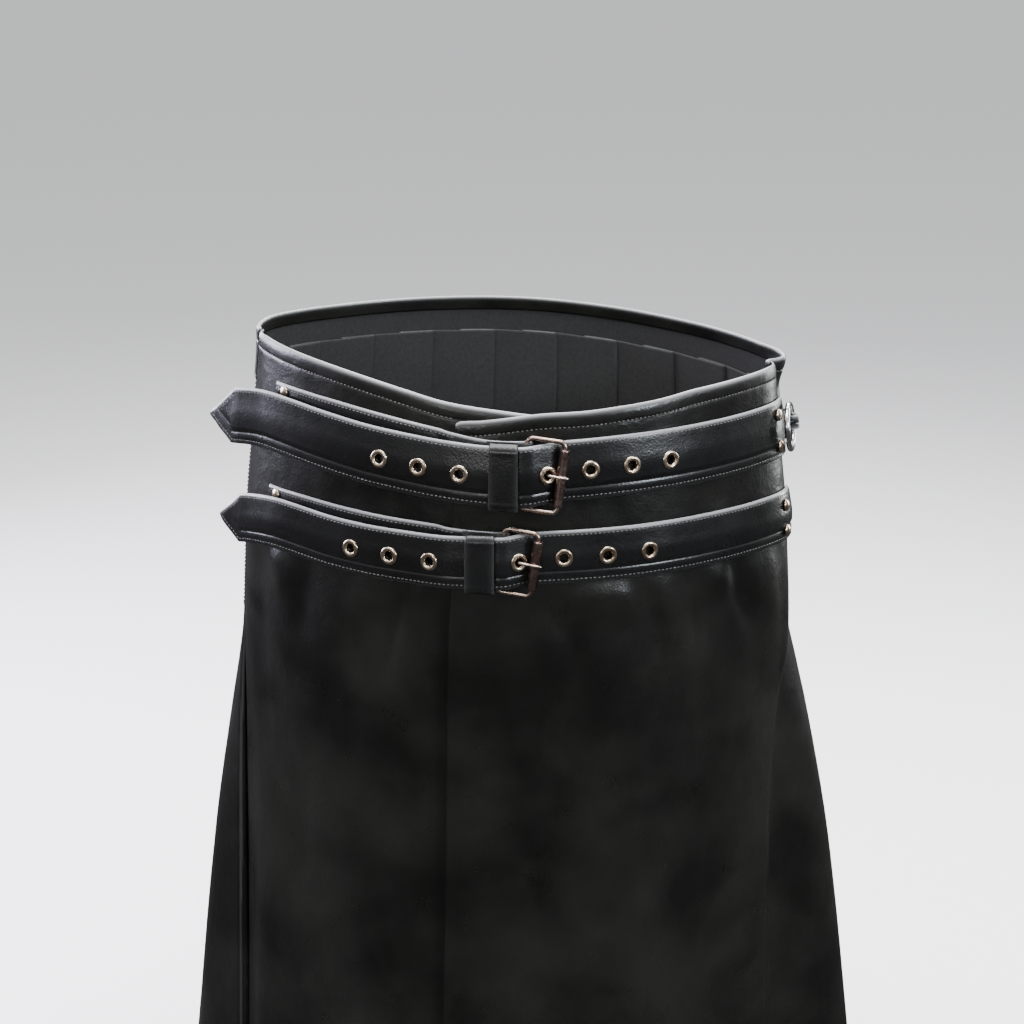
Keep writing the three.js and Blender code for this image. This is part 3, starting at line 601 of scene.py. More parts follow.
def smooth_line(corners: Array, count: int) -> Array:
    """Runs a centripetal curve through open corners.

    Args:
        corners: Points to pass through.
        count: Points between two corners.

    Returns:
        The points of the curve.
    """
    corners = np.asarray(corners, float)
    ends = np.concatenate([[2 * corners[0] - corners[1]], corners, [2 * corners[-1] - corners[-2]]])
    line = []
    for k in range(1, len(ends) - 2):
        p0, p1, p2, p3 = ends[k - 1:k + 3]
        gaps = [max(np.linalg.norm(b - a), 1e-6) ** 0.5 for a, b in ((p0, p1), (p1, p2), (p2, p3))]
        t0, t1 = 0.0, gaps[0]
        t2, t3 = t1 + gaps[1], t1 + gaps[1] + gaps[2]
        for t in np.linspace(t1, t2, count, endpoint=False):
            a1 = (t1 - t) / (t1 - t0) * p0 + (t - t0) / (t1 - t0) * p1
            a2 = (t2 - t) / (t2 - t1) * p1 + (t - t1) / (t2 - t1) * p2
            a3 = (t3 - t) / (t3 - t2) * p2 + (t - t2) / (t3 - t2) * p3
            b1 = (t2 - t) / (t2 - t0) * a1 + (t - t0) / (t2 - t0) * a2
            b2 = (t3 - t) / (t3 - t1) * a2 + (t - t1) / (t3 - t1) * a3
            line.append((t2 - t) / (t2 - t1) * b1 + (t - t1) / (t2 - t1) * b2)
    line.append(corners[-1])
    return np.array(line)


def apply_modifiers(piece: bpy.types.Object) -> None:
    """Makes a piece's mesh the plain result of its modifiers."""
    graph = bpy.context.evaluated_depsgraph_get()
    graph.update()
    mesh = bpy.data.meshes.new_from_object(piece.evaluated_get(graph), depsgraph=graph)
    piece.modifiers.clear()
    piece.data = mesh


def cut_away(piece: bpy.types.Object, cutters: list[bpy.types.Object]) -> None:
    """Cuts closed shapes out of a piece and deletes them.

    Args:
        piece: The piece, whose mesh changes.
        cutters: The shapes.
    """
    for cutter in cutters:
        modifier = piece.modifiers.new("cut", "BOOLEAN")
        modifier.operation = "DIFFERENCE"
        modifier.solver = "EXACT"
        modifier.object = cutter
    apply_modifiers(piece)
    for cutter in cutters:
        bpy.data.objects.remove(cutter)


# Finishes.


MIX_FIRST, MIX_SECOND, MIX_RESULT = 6, 7, 2      # sockets of a colour mix
SHADER_INPUTS = {"rough": "Roughness", "specular": "Specular IOR Level", "metal": "Metallic"}


class Nodes:
    """Builds a material's node tree."""

    def __init__(self, name: str) -> None:
        """Starts an empty material with a shader and its output."""
        self.material = bpy.data.materials.new(name)
        self.material.use_nodes = True
        self.tree = self.material.node_tree
        self.tree.nodes.clear()
        self.shader = self.add("ShaderNodeBsdfPrincipled")
        output = self.add("ShaderNodeOutputMaterial")
        self.link(self.shader, "BSDF", output, "Surface")
        self.place = self.add("ShaderNodeTexCoord")

    def add(self, kind: str, **values: object) -> bpy.types.Node:
        """Adds a node.

        Args:
            kind: Blender's name for it.
            values: Its settings; one that isn't a property is the constant of an input.

        Returns:
            The node.
        """
        node = self.tree.nodes.new(kind)
        for name, value in values.items():
            label = name.replace("_", " ").title()
            if name in node.bl_rna.properties:
                setattr(node, name, value)
            else:
                node.inputs[label].default_value = value
        return node

    def link(self, source: bpy.types.Node, out: str, target: bpy.types.Node, into: str) -> None:
        """Joins an output to an input."""
        self.tree.links.new(source.outputs[out], target.inputs[into])

    def noise(self, scale: float, detail: float = 4.0, rough: float = 0.55) -> bpy.types.Node:
        """Adds noise on object coordinates, with its scale per metre."""
        node = self.add("ShaderNodeTexNoise", scale=scale, detail=detail, roughness=rough)
        self.link(self.place, "Object", node, "Vector")
        return node

    def cells(self, scale: float) -> bpy.types.Node:
        """Adds soft cells on object coordinates."""
        node = self.add("ShaderNodeTexVoronoi", feature="SMOOTH_F1", scale=scale)
        self.link(self.place, "Object", node, "Vector")
        return node

    def ramp(self, source: bpy.types.Node, out: str, stops: list[tuple[float, float]]) -> bpy.types.Node:
        """Adds a grey ramp.

        Args:
            source: The node that it reads.
            out: That node's output.
            stops: Places and brightnesses.

        Returns:
            The ramp.
        """
        node = self.add("ShaderNodeValToRGB")
        elements = node.color_ramp.elements
        while len(elements) < len(stops):
            elements.new(0.5)
        for element, (place, value) in zip(elements, stops):
            element.position = place
            element.color = (value, value, value, 1)
        self.link(source, out, node, "Fac")
        return node

    def bump(self, height: bpy.types.Node, out: str, strength: float, distance: float,
             below: bpy.types.Node | None = None) -> bpy.types.Node:
        """Adds a bump.

        Args:
            height: The pattern's node.
            out: That node's output.
            strength: How much of the bump shows.
            distance: Its height, in metres.
            below: A bump that it lies on.

        Returns:
            The bump.
        """
        node = self.add("ShaderNodeBump", strength=strength, distance=distance)
        self.link(height, out, node, "Height")
        if below is not None:
            self.link(below, "Normal", node, "Normal")
        return node

    def blend(
        self, factor: bpy.types.NodeSocket, first: tuple | bpy.types.NodeSocket, second: tuple
    ) -> bpy.types.NodeSocket:
        """Adds a mix of two colours.

        Args:
            factor: How much of the second one shows.
            first: A colour, or a socket that gives one.
            second: A colour.

        Returns:
            The mixed colour.
        """
        node = self.add("ShaderNodeMix", data_type="RGBA")
        if isinstance(first, tuple):
            node.inputs[MIX_FIRST].default_value = (*first, 1)
        else:
            self.tree.links.new(first, node.inputs[MIX_FIRST])
        node.inputs[MIX_SECOND].default_value = (*second, 1)
        self.tree.links.new(factor, node.inputs["Factor"])
        return node.outputs[MIX_RESULT]

    def patches(
        self, pattern: bpy.types.Node, low: float, high: float, first: tuple, second: tuple
    ) -> bpy.types.NodeSocket:
        """Returns two colours in soft patches, where a pattern rises from low to high."""
        share = self.ramp(pattern, "Fac", [(low, 0), (high, 1)])
        return self.blend(share.outputs["Color"], first, second)

    def paint(self, colour: bpy.types.NodeSocket) -> None:
        """Makes a colour the shader's own."""
        self.tree.links.new(colour, self.shader.inputs["Base Color"])

    def roughen(self, pattern: bpy.types.Node, smooth: float, rough: float) -> None:
        """Varies the shader's roughness by a pattern."""
        ramp = self.ramp(pattern, "Fac", [(0.3, smooth), (0.7, rough)])
        self.link(ramp, "Color", self.shader, "Roughness")

    def set(self, **values: float) -> None:
        """Sets constants of the shader."""
        for name, value in values.items():
            self.shader.inputs[SHADER_INPUTS[name]].default_value = value


@dataclass(frozen=True)
class Leather:
    """Smooth, glossy garment leather with a fine grain."""

    name: str
    dark: tuple[float, float, float]
    light: tuple[float, float, float]
    # light grey edge colour: a painted highlight along rims and top edges, with some edge wear
    worn_and_highlit: tuple[float, float, float]
    gloss_low: float
    gloss_high: float
    grain: float
    wrinkle: float
    specular: float

    def build(self) -> bpy.types.Material:
        """Returns the material."""
        nodes = Nodes(self.name)
        dyed = nodes.patches(nodes.noise(11, 5), 0.38, 0.64, self.dark, self.light)
        # mixes in the light grey painted highlight along rims and top edges, with a little edge wear
        wear_and_highlight = nodes.add("ShaderNodeAttribute", attribute_name="wear_and_highlight")
        nodes.paint(nodes.blend(wear_and_highlight.outputs["Fac"], dyed, self.worn_and_highlit))
        nodes.roughen(nodes.noise(34, 6, 0.6), self.gloss_low, self.gloss_high)
        soft = nodes.bump(nodes.noise(62, 3, 0.5), "Fac", self.wrinkle, 0.0022)
        pull = nodes.bump(nodes.noise(210, 4, 0.6), "Fac", self.wrinkle * 0.8, 0.0006, soft)
        pebbles = nodes.bump(nodes.cells(760), "Distance", self.grain, 0.00030, pull)
        pores = nodes.bump(nodes.noise(2600, 2, 0.5), "Fac", self.grain * 0.3, 0.00012, pebbles)
        nodes.link(pores, "Normal", nodes.shader, "Normal")
        nodes.set(specular=self.specular)
        return nodes.material


@dataclass(frozen=True)
class FleshSide:
    """The matt inner side of the leather."""

    name: str
    dark: tuple[float, float, float]
    light: tuple[float, float, float]

    def build(self) -> bpy.types.Material:
        """Returns the material."""
        nodes = Nodes(self.name)
        nodes.paint(nodes.patches(nodes.noise(420, 6, 0.65), 0.35, 0.65, self.dark, self.light))
        nodes.set(rough=0.92, specular=0.12)
        fibres = nodes.bump(nodes.noise(1500, 5, 0.7), "Fac", 0.5, 0.0002)
        nodes.link(fibres, "Normal", nodes.shader, "Normal")
        return nodes.material


@dataclass(frozen=True)
class Metal:
    """Plated or bare metal with fine handling marks."""

    name: str
    clean: tuple[float, float, float]
    tarnished: tuple[float, float, float]
    gloss_low: float
    gloss_high: float

    def build(self) -> bpy.types.Material:
        """Returns the material."""
        nodes = Nodes(self.name)
        nodes.paint(nodes.patches(nodes.noise(90, 4, 0.5), 0.42, 0.72, self.clean, self.tarnished))
        nodes.set(metal=1.0)
        nodes.roughen(nodes.noise(320, 4), self.gloss_low, self.gloss_high)
        marks = nodes.bump(nodes.noise(1400, 3), "Fac", 0.05, 0.00008)
        nodes.link(marks, "Normal", nodes.shader, "Normal")
        return nodes.material


@dataclass(frozen=True)
class Thread:
    """Waxed sewing thread."""

    name: str
    dark: tuple[float, float, float]
    light: tuple[float, float, float]

    def build(self) -> bpy.types.Material:
        """Returns the material."""
        nodes = Nodes(self.name)
        strands = nodes.noise(900, 3)
        nodes.paint(nodes.patches(strands, 0.4, 0.62, self.dark, self.light))
        nodes.set(rough=0.5)
        twist = nodes.bump(strands, "Fac", 0.5, 0.00012)
        nodes.link(twist, "Normal", nodes.shader, "Normal")
        return nodes.material


FLOOR_COLOUR = (0.93, 0.93, 0.93, 1)
SKY_DARK = (0.12, 0.12, 0.12, 1)
SKY_PALE = (0.97, 0.98, 1.0, 1)
SKY_STRENGTH = 0.8
SKY_TURNS_PALE = 0.35    # height of the direction at which the sky is fully pale

# Soft boxes: name, place, aim, width, height, watts and colour.
LIGHTS = (
    ("top_back", (0.1, 1.0, 1.15), (0, 0, 0), 1.5, 1.1, 80, (1, 0.99, 1)),
    ("overhead", (-0.1, -0.25, 1.55), (0, 0, 0), 1.5, 0.9, 62, (0.98, 0.98, 1)),
    ("left_window", (-1.55, 0.42, 0.35), (0, 0, -0.05), 0.35, 0.9, 42, (0.82, 0.80, 1)),
    ("front_left", (-0.6, -1.75, 0.45), (0, 0, -0.2), 0.55, 0.22, 5, (1, 1, 0.97)),
    ("front_right", (1.35, -0.95, 0.50), (0, 0, -0.2), 0.45, 0.25, 20, (0.86, 0.93, 1)),
    ("rear_left", (-1.35, 1.25, 0.25), (0, 0, -0.1), 0.5, 0.7, 30, (0.84, 0.83, 1)),
    ("rear_right", (1.5, 1.0, 0.1), (0, 0, -0.2), 0.3, 0.9, 20, (0.96, 1, 0.98)),
)


@dataclass(frozen=True)
class Studio:
    """The plain pale floor and the soft lights."""

    floor_height: float = -0.70
    floor_size: float = 120.0

    def build(self) -> None:
        """Makes the floor, the world and the lights."""
        bpy.ops.mesh.primitive_plane_add(size=self.floor_size, location=(0, 0, self.floor_height))
        floor = bpy.context.object
        floor.name = "floor"
        nodes = Nodes("pale_floor")
        nodes.shader.inputs["Base Color"].default_value = FLOOR_COLOUR
        nodes.set(rough=0.85, specular=0.1)
        floor.data.materials.append(nodes.material)
        floor.visible_glossy = False
        self.sky()
        for box in LIGHTS:
            self.light(*box)

    def sky(self) -> None:
        """Makes the world: pale to the camera, and to the leather dark below the horizon and pale above."""
        world = bpy.data.worlds.new("studio")
        bpy.context.scene.world = world
        world.use_nodes = True
        tree = world.node_tree
        direction = tree.nodes.new("ShaderNodeTexCoord")
        parts = tree.nodes.new("ShaderNodeSeparateXYZ")
        ramp = tree.nodes.new("ShaderNodeValToRGB")
        stops = ((0.0, SKY_DARK), (SKY_TURNS_PALE, SKY_PALE))
        for element, (place, colour) in zip(ramp.color_ramp.elements, stops):
            element.position, element.color = place, colour
        tree.links.new(direction.outputs["Generated"], parts.inputs[0])
        tree.links.new(parts.outputs["Z"], ramp.inputs["Fac"])
        path = tree.nodes.new("ShaderNodeLightPath")
        seen = tree.nodes.new("ShaderNodeMix")
        seen.data_type = "RGBA"
        seen.inputs[MIX_SECOND].default_value = SKY_PALE
        tree.links.new(path.outputs["Is Camera Ray"], seen.inputs["Factor"])
        tree.links.new(ramp.outputs["Color"], seen.inputs[MIX_FIRST])
        tree.links.new(seen.outputs[MIX_RESULT], tree.nodes["Background"].inputs["Color"])
        tree.nodes["Background"].inputs["Strength"].default_value = SKY_STRENGTH

    def light(
        self, name: str, place: tuple, aim: tuple, wide: float, high: float, power: float, colour: tuple
    ) -> None:
        """Makes one soft box, as a row of LIGHTS gives it."""
        data = bpy.data.lights.new(name, "AREA")
        data.shape = "RECTANGLE"
        data.size, data.size_y = wide, high
        data.energy = power
        data.color = colour
        box = bpy.data.objects.new(name, data)
        box.location = place
        box.rotation_mode = "QUATERNION"
        box.rotation_quaternion = (Vector(aim) - Vector(place)).to_track_quat("-Z", "Y")
        box.visible_camera = False
        bpy.context.scene.collection.objects.link(box)


@dataclass(frozen=True)
class PhotoCamera:
    """The camera at the photograph's viewing angle."""

    azimuth: float = 4.0
    elevation: float = 18.0
    distance: float = 1.5
    aim: tuple[float, float, float] = (-0.0022, 0.0, -0.118)
    lens: float = 74.15

    def build(self) -> None:
        """Makes the camera."""
        turn, rise = math.radians(self.azimuth), math.radians(self.elevation)
        back = Vector(
            (math.sin(turn) * math.cos(rise), -math.cos(turn) * math.cos(rise), math.sin(rise))
        )
        data = bpy.data.cameras.new("photo_camera")
        data.sensor_width = 36.0
        data.lens = self.lens
        camera = bpy.data.objects.new("photo_camera", data)
        camera.location = Vector(self.aim) + back * self.distance
        camera.rotation_mode = "QUATERNION"
        camera.rotation_quaternion = (-back).to_track_quat("-Z", "Y")
        bpy.context.scene.collection.objects.link(camera)
        bpy.context.scene.camera = camera


@dataclass
class Finishes:
    """Every material of the kilt."""

    apron: bpy.types.Material
    back: bpy.types.Material
    strap: bpy.types.Material
    flesh: bpy.types.Material
    thread: bpy.types.Material
    gunmetal: bpy.types.Material
    wire: bpy.types.Material
    prong: bpy.types.Material
    brass: bpy.types.Material
    silver: bpy.types.Material

    @classmethod
    def build(cls) -> "Finishes":
        """Returns all finishes."""
        # edge, and the strap leather's third colour, is the light grey painted highlight of rims and top
        # edges
        black, soft, edge = (0.0028, 0.0028, 0.0023), (0.0092, 0.0092, 0.0076), (0.27, 0.27, 0.275)
        return cls(
            Leather("apron_leather", black, soft, edge, 0.26, 0.38, 0.30, 0.28, 0.42).build(),
            Leather("back_leather", black, soft, edge, 0.28, 0.40, 0.30, 0.28, 0.42).build(),
            Leather("strap_leather", (0.0030, 0.0030, 0.0032), (0.0055, 0.0055, 0.0058),
                    (0.34, 0.34, 0.35), 0.24, 0.34, 0.28, 0.14, 0.45).build(),
            FleshSide("flesh_side", (0.032, 0.032, 0.032), (0.042, 0.042, 0.042)).build(),
            Thread("sewing_thread", (0.05, 0.048, 0.046), (0.10, 0.096, 0.092)).build(),
            Metal("gunmetal", (0.27, 0.19, 0.17), (0.13, 0.085, 0.075), 0.22, 0.36).build(),
            Metal("buckle_wire", (0.50, 0.38, 0.32), (0.25, 0.175, 0.15), 0.2, 0.34).build(),
            Metal("prong_metal", (0.66, 0.55, 0.47), (0.40, 0.30, 0.25), 0.2, 0.34).build(),
            Metal("pale_brass", (0.66, 0.54, 0.42), (0.40, 0.29, 0.20), 0.18, 0.32).build(),
            Metal("silver_ring", (0.66, 0.67, 0.67), (0.40, 0.40, 0.40), 0.12, 0.26).build(),
        )


# Things that repeat.


STITCH_SEED = 7
STITCH_GAP = 3.0         # from stitch to stitch
STITCH_UNEVEN = 0.12     # share by which the stitches' length varies


@dataclass
class Scatter:
    """Sets one small part at many marked places, by geometry nodes."""

    tree: bpy.types.NodeTree | None = None

    def build_tree(self) -> bpy.types.NodeTree:
        """Builds the tree: a part on every point, turned by the point's own directions.

        Returns:
            The node group, with named inputs.
        """
        tree = bpy.data.node_groups.new("set_at_marks", "GeometryNodeTree")
        link = tree.links.new
        for name, kind in (
            ("Marks", "Geometry"), ("Part", "Object"), ("Finish", "Material"), ("Long", "Float"),
            ("Unevenness", "Float"),
        ):
            tree.interface.new_socket(name, in_out="INPUT", socket_type="NodeSocket" + kind)
        tree.interface.new_socket("Pieces", in_out="OUTPUT", socket_type="NodeSocketGeometry")

        def add(kind: str, **settings: object) -> bpy.types.Node:
            """Adds a node with its settings."""
            node = tree.nodes.new(kind)
            for name, value in settings.items():
                setattr(node, name, value)
            return node

        def direction(name: str) -> bpy.types.NodeSocket:
            """Reads one of the marks' directions."""
            node = add("GeometryNodeInputNamedAttribute", data_type="FLOAT_VECTOR")
            node.inputs["Name"].default_value = name
            return node.outputs[0]

        enter, leave = add("NodeGroupInput"), add("NodeGroupOutput")
        part = add("GeometryNodeObjectInfo", transform_space="ORIGINAL")
        link(enter.outputs["Part"], part.inputs["Object"])
        turn = add("FunctionNodeAxesToRotation", primary_axis="Z", secondary_axis="X")
        link(direction("out"), turn.inputs[0])
        link(direction("across"), turn.inputs[1])
        spread = add("FunctionNodeRandomValue", data_type="FLOAT")
        spread.inputs["Seed"].default_value = STITCH_SEED
        for operation, limit in (("SUBTRACT", 2), ("ADD", 3)):
            bound = add("ShaderNodeMath", operation=operation)
            bound.inputs[0].default_value = 1.0
            link(enter.outputs["Unevenness"], bound.inputs[1])
            link(bound.outputs[0], spread.inputs[limit])
        stretch = add("ShaderNodeMath", operation="MULTIPLY")
        link(enter.outputs["Long"], stretch.inputs[0])
        link(spread.outputs[1], stretch.inputs[1])
        size = add("ShaderNodeCombineXYZ")
        size.inputs[1].default_value = size.inputs[2].default_value = 1.0
        link(stretch.outputs[0], size.inputs[0])
        put = add("GeometryNodeInstanceOnPoints")
        link(enter.outputs["Marks"], put.inputs["Points"])
        link(part.outputs["Geometry"], put.inputs["Instance"])
        link(turn.outputs[0], put.inputs["Rotation"])
        link(size.outputs[0], put.inputs["Scale"])
        real = add("GeometryNodeRealizeInstances")
        finish = add("GeometryNodeSetMaterial")
        link(put.outputs[0], real.inputs[0])
        link(real.outputs[0], finish.inputs["Geometry"])
        link(enter.outputs["Finish"], finish.inputs["Material"])
        link(finish.outputs[0], leave.inputs[0])
        self.tree = tree
        return tree

    def put(
        self, name: str, part: tuple[Array, list], marks: list[Frame] | Array, finish: bpy.types.Material,
        long: float = 1.0, uneven: float = 0.0,
    ) -> bpy.types.Object:
        """Sets a part at every mark.

        Args:
            name: Name of the piece.
            part: Points and faces of the part, its outside along z.
            marks: Frames, or an array of [place, across, out] rows.
            finish: Its material.
            long: Stretch along x.
            uneven: Share by which the stretch varies.

        Returns:
            One joined mesh object.
        """
        if isinstance(marks, list):
            marks = np.array([[m.translation, m.col[0].to_3d(), m.col[2].to_3d()] for m in marks])
        small = make_piece(name + "_part", part[0], part[1], [], solid=True)
        mesh = bpy.data.meshes.new(name)
        mesh.from_pydata((marks[:, 0] * METRES).tolist(), [], [])
        for column, label in ((1, "across"), (2, "out")):
            layer = mesh.attributes.new(label, "FLOAT_VECTOR", "POINT")
            layer.data.foreach_set("vector", marks[:, column].astype(np.float32).ravel())
        piece = bpy.data.objects.new(name, mesh)
        bpy.context.scene.collection.objects.link(piece)
        tree = self.tree or self.build_tree()
        modifier = piece.modifiers.new("marks", "NODES")
        modifier.node_group = tree
        names = {item.name: item.identifier for item in tree.interface.items_tree}
        for label, value in (("Part", small), ("Finish", finish), ("Long", long), ("Unevenness", uneven)):
            modifier[names[label]] = value
        apply_modifiers(piece)
        piece.data.name = name
        for label in ("across", "out"):
            if label in piece.data.attributes:
                piece.data.attributes.remove(piece.data.attributes[label])
        bpy.data.objects.remove(small)
        return piece


def stitch_part(long: float = 2.1, thick: float = 0.42) -> tuple[Array, list]:
    """Returns one stitch: a short rounded length of thread, half sunk in the leather."""
    shares = (-1.0, -0.78, -0.3, 0.3, 0.78, 1.0)
    sizes = (0.15, 0.75, 1.0, 1.0, 0.75, 0.15)
    line = np.array([(s * long / 2, 0, 0.16 - 0.28 * s * s) for s in shares])
    radius = np.array(sizes) * thick
    return tube(line, radius, 6, Vector((0, 1, 0)))


def stitch_marks(line: Array, out: Array) -> Array:
    """Places stitches evenly along a line on leather.

    Args:
        line: Points of the row, [n, 3].
        out: Outward directions there.

    Returns:
        An array of [place, across, out] rows.
    """
    along = distances(line)
    count = max(2, int(along[-1] / STITCH_GAP))
    wanted = (np.arange(count) + 0.5) * along[-1] / count
    read = lambda values: np.stack([np.interp(wanted, along, values[:, k]) for k in range(3)], -1)
    ahead = np.stack([np.interp(wanted + 0.6, along, line[:, k]) for k in range(3)], -1)
    behind = np.stack([np.interp(wanted - 0.6, along, line[:, k]) for k in range(3)], -1)
    across = ahead - behind
    across /= np.linalg.norm(across, axis=1, keepdims=True)
    facing = read(out)
    facing -= across * (facing * across).sum(-1, keepdims=True)
    facing /= np.linalg.norm(facing, axis=1, keepdims=True)
    return np.stack([read(line), across, facing], 1)


def stitch_row(form: BodyForm, turn: Array, height: Array, lift: Array) -> Array:
    """Places stitches along a line on the body form.

    Args:
        form: The body form.
        turn: Places round the body.
        height: Heights.
        lift: Distances outside the form.

    Returns:
        An array of [place, across, out] rows.
    """
    line = form.point(turn, height, lift)
    return stitch_marks(line, form.point(turn, height, lift + 1) - line)


def finish_piece(piece: bpy.types.Object, slot: Slot, *nodes: str) -> bpy.types.Object:
    """Rides a piece on the body, hides the CAD nodes that it stands for, and logs it.

    Args:
        piece: The finished piece.
        slot: Its material slot; not used.
        nodes: Names of the CAD nodes that it replaces.

    Returns:
        The piece.
    """
    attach(piece, BODY)
    if nodes:
        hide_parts(*nodes)
    log.info("%s: %d faces", piece.name, len(piece.data.polygons))
    return piece


# Aprons.


TOP_ROWS = np.array([0, 0.12, 0.4, 0.9, 1.5, 2.3, 3.4, 4.8, 6.2, 7.6, 8.4, 8.9, 9.2, 9.5, 9.8, 10.1,
                     10.6, 11.4, 13, 15.5])
HEM_ROWS = np.array([0, 0.12, 0.4, 0.9, 1.6, 3, 6, 10, 14, 18, 20, 20.7, 21.1, 21.5, 21.9, 22.4, 23.2,
                     25, 29])
EDGE_STEPS = np.array([0, 0.12, 0.4, 0.9, 1.5, 2.4, 3.6, 5.2])


def edge_shares(width: float, count: int) -> Array:
    """Spreads columns across a panel, close together at both edges.

    Args:
        width: Width of the panel.
        count: Number of even steps between the edges' own.

    Returns:
        Shares of the width, from 0 to 1.
    """
    start = EDGE_STEPS / width
    middle = np.linspace(start[-1], 1 - start[-1], count)[1:-1]
    return np.concatenate([start, middle, 1 - start[::-1]])


def panel_heights(top: Array, middle_rows: int) -> Array:
    """Spreads rows down a panel, close together at the turned edge and at the hem.

    Args:
        top: Height of each column's top.
        middle_rows: Number of even rows between.

    Returns:
        Heights, [column][row].
    """
    high = top[:, None] - TOP_ROWS[None]
    low = HEM + HEM_ROWS[::-1][None] + 0 * top[:, None]
    share = np.linspace(0, 1, middle_rows + 2)[1:-1]
    between = mix(high[:, -1:], low[:, :1], share[None])
    return np.concatenate([high, between, low], 1)


def turned(from_edge: Array, deep: float) -> Array:
    """Returns where a turned edge has its second layer, from 1 to 0."""
    return 1 - smoothstep(from_edge, deep - 0.2, deep + FOLD_STEP)


class Edge(Enum):
    """Which edge of an apron is its rolled side seam."""

    LEFT = -1
    RIGHT = 1


@dataclass
class Apron:
    """A flat front panel with a turned top edge, a rolled side and a turned hem."""

    form: BodyForm
    finishes: Finishes
    name: str
    top: Table
    rolled: Edge
    over: bool
    creases: tuple[Crease, ...]
    columns: int = 104
    middle_rows: int = 112
    puff: float = 0.32
    groove: float = 0.38
    free_lift: float = 2.4

    def edges(self, height: Array) -> tuple[Array, Array]:
        """Returns the turns of both edges at a height."""
        if self.over:
            return SIDE_EDGES.curve(height, "free"), SIDE_EDGES.curve(height, "right")
        return SIDE_EDGES.curve(height, "left"), OVERLAP_END + 0 * height

    def faces(self, turn: Array, height: Array, from_top: Array) -> tuple[Array, Array]:
        """Works out both faces, before the edges are rounded.

        Args:
            turn: Places round the body.
            height: Heights.
            from_top: Distances below the rim.

        Returns:
            The lifts of the outer and the inner face.
        """
        # the outer apron lies on the under one up to here, then on the body form
        over = 1 - smoothstep(turn, 0.35, 0.58) if self.over else 0 * turn
        left, right = self.edges(height)
        inset = right - turn if self.rolled is Edge.RIGHT else turn - left
        bend = np.clip(1 - inset / SIDE_ROLL_WIDE, 0, 1)
        base = (SEAM + WALL + 0.1) * over - SIDE_ROLL * bend**2
        base = base + creased(self.creases, turn, height) * smoothstep(from_top, 12, 30)
        # below the lower strap the free edge stands off, and the under apron sinks beside it
        beside = (turn - SIDE_EDGES.curve(height, "free")) * TURN_LENGTH
        loose = smoothstep(-height, 128, 165)
        lifted = np.exp(-np.maximum(beside, 0) / 8) if self.over else -bump(beside, -1.5, 4.5)
        base = base + self.free_lift * lifted * loose
        above_hem = height - HEM
        fold = np.maximum(turned(from_top, FOLD_DEEP), turned(above_hem, HEM_DEEP))
        fold = fold * smoothstep(inset, FOLD_FADE - 0.02, FOLD_FADE) * mix(FOLD_THICK, FREE_FOLD, over)
        outside = base + fold * over
        # puffed turned edges, the grooves of their stitches and the rounded rim
        swell = self.puff * np.sin(math.pi * np.clip(from_top / FOLD_DEEP, 0, 1)) ** 0.8
        swell += 0.14 * bump(from_top, 12.4, 1.8)
        swell += self.puff * np.sin(math.pi * np.clip(above_hem / HEM_DEEP, 0, 1))
        swell -= self.groove * (bump(from_top, FOLD_DEEP, 0.55) + bump(above_hem, HEM_SEAM, 0.6))
        swell -= 1.1 * (1 - np.clip(from_top / 4.2, 0, 1)) ** 2
        return outside + swell, outside - WALL - fold

    def build(self) -> bpy.types.Object:
        """Builds the panel."""
        share = edge_shares(1.2 * TURN_LENGTH, self.columns)
        left, right = self.edges(np.array(0.0))
        rim = mix(float(left), float(right), share)
        height = panel_heights(self.top.curve(rim, "top"), self.middle_rows)
        left, right = self.edges(height)
        turn = mix(left, right, share[:, None])
        from_top = height[:, :1] - height
        outside, inside = self.faces(turn, height, from_top)
        near = np.minimum.reduce([
            from_top, height - HEM, (turn - left) * TURN_LENGTH, (right - turn) * TURN_LENGTH,
        ])
        outside, inside = rounded(outside, inside, near)
        lined = (from_top > FOLD_DEEP + FOLD_STEP) & (height - HEM > HEM_DEEP)
        # a painted highlight along the rim
        wear_and_highlight = bump(from_top, 0, RIM_HIGHLIGHT)
        piece = make_shell(
            self.name + "_leather", self.form.point(turn, height, outside),
            self.form.point(turn, height, inside), [self.finishes.apron, self.finishes.flesh], lined, wear_and_highlight,
        )
        return finish_piece(piece, Slot.APRON, self.name)

    def row(self, turn: Array, height: Array, from_top: float) -> Array:
        """Returns stitches along a line of turns and heights on the outer face."""
        outside, _ = self.faces(turn, height, from_top + 0 * turn)
        return stitch_row(self.form, turn, height, outside)

    def stitches(self) -> Array:
        """Returns the stitches of the turned top edge and of the hem."""
        left, right = (float(x) for x in self.edges(np.array(0.0)))
        start = left + (0.012 if self.over else 0.01)
        end = right - 0.012 if self.over else FREE_TOP - 0.01
        turn = np.linspace(start, end, 400)
        rows = [self.row(turn, self.top.curve(turn, "top") - FOLD_DEEP, FOLD_DEEP)]
        left, right = (float(x) for x in self.edges(np.array(HEM + HEM_DEEP)))
        end = right - 0.02 if self.over else FREE_HEM - 0.01
        turn = np.linspace(left + 0.02, end, 400)
        rows.append(self.row(turn, HEM + HEM_SEAM + 0 * turn, -HEM))
        return np.concatenate(rows)


# Back.


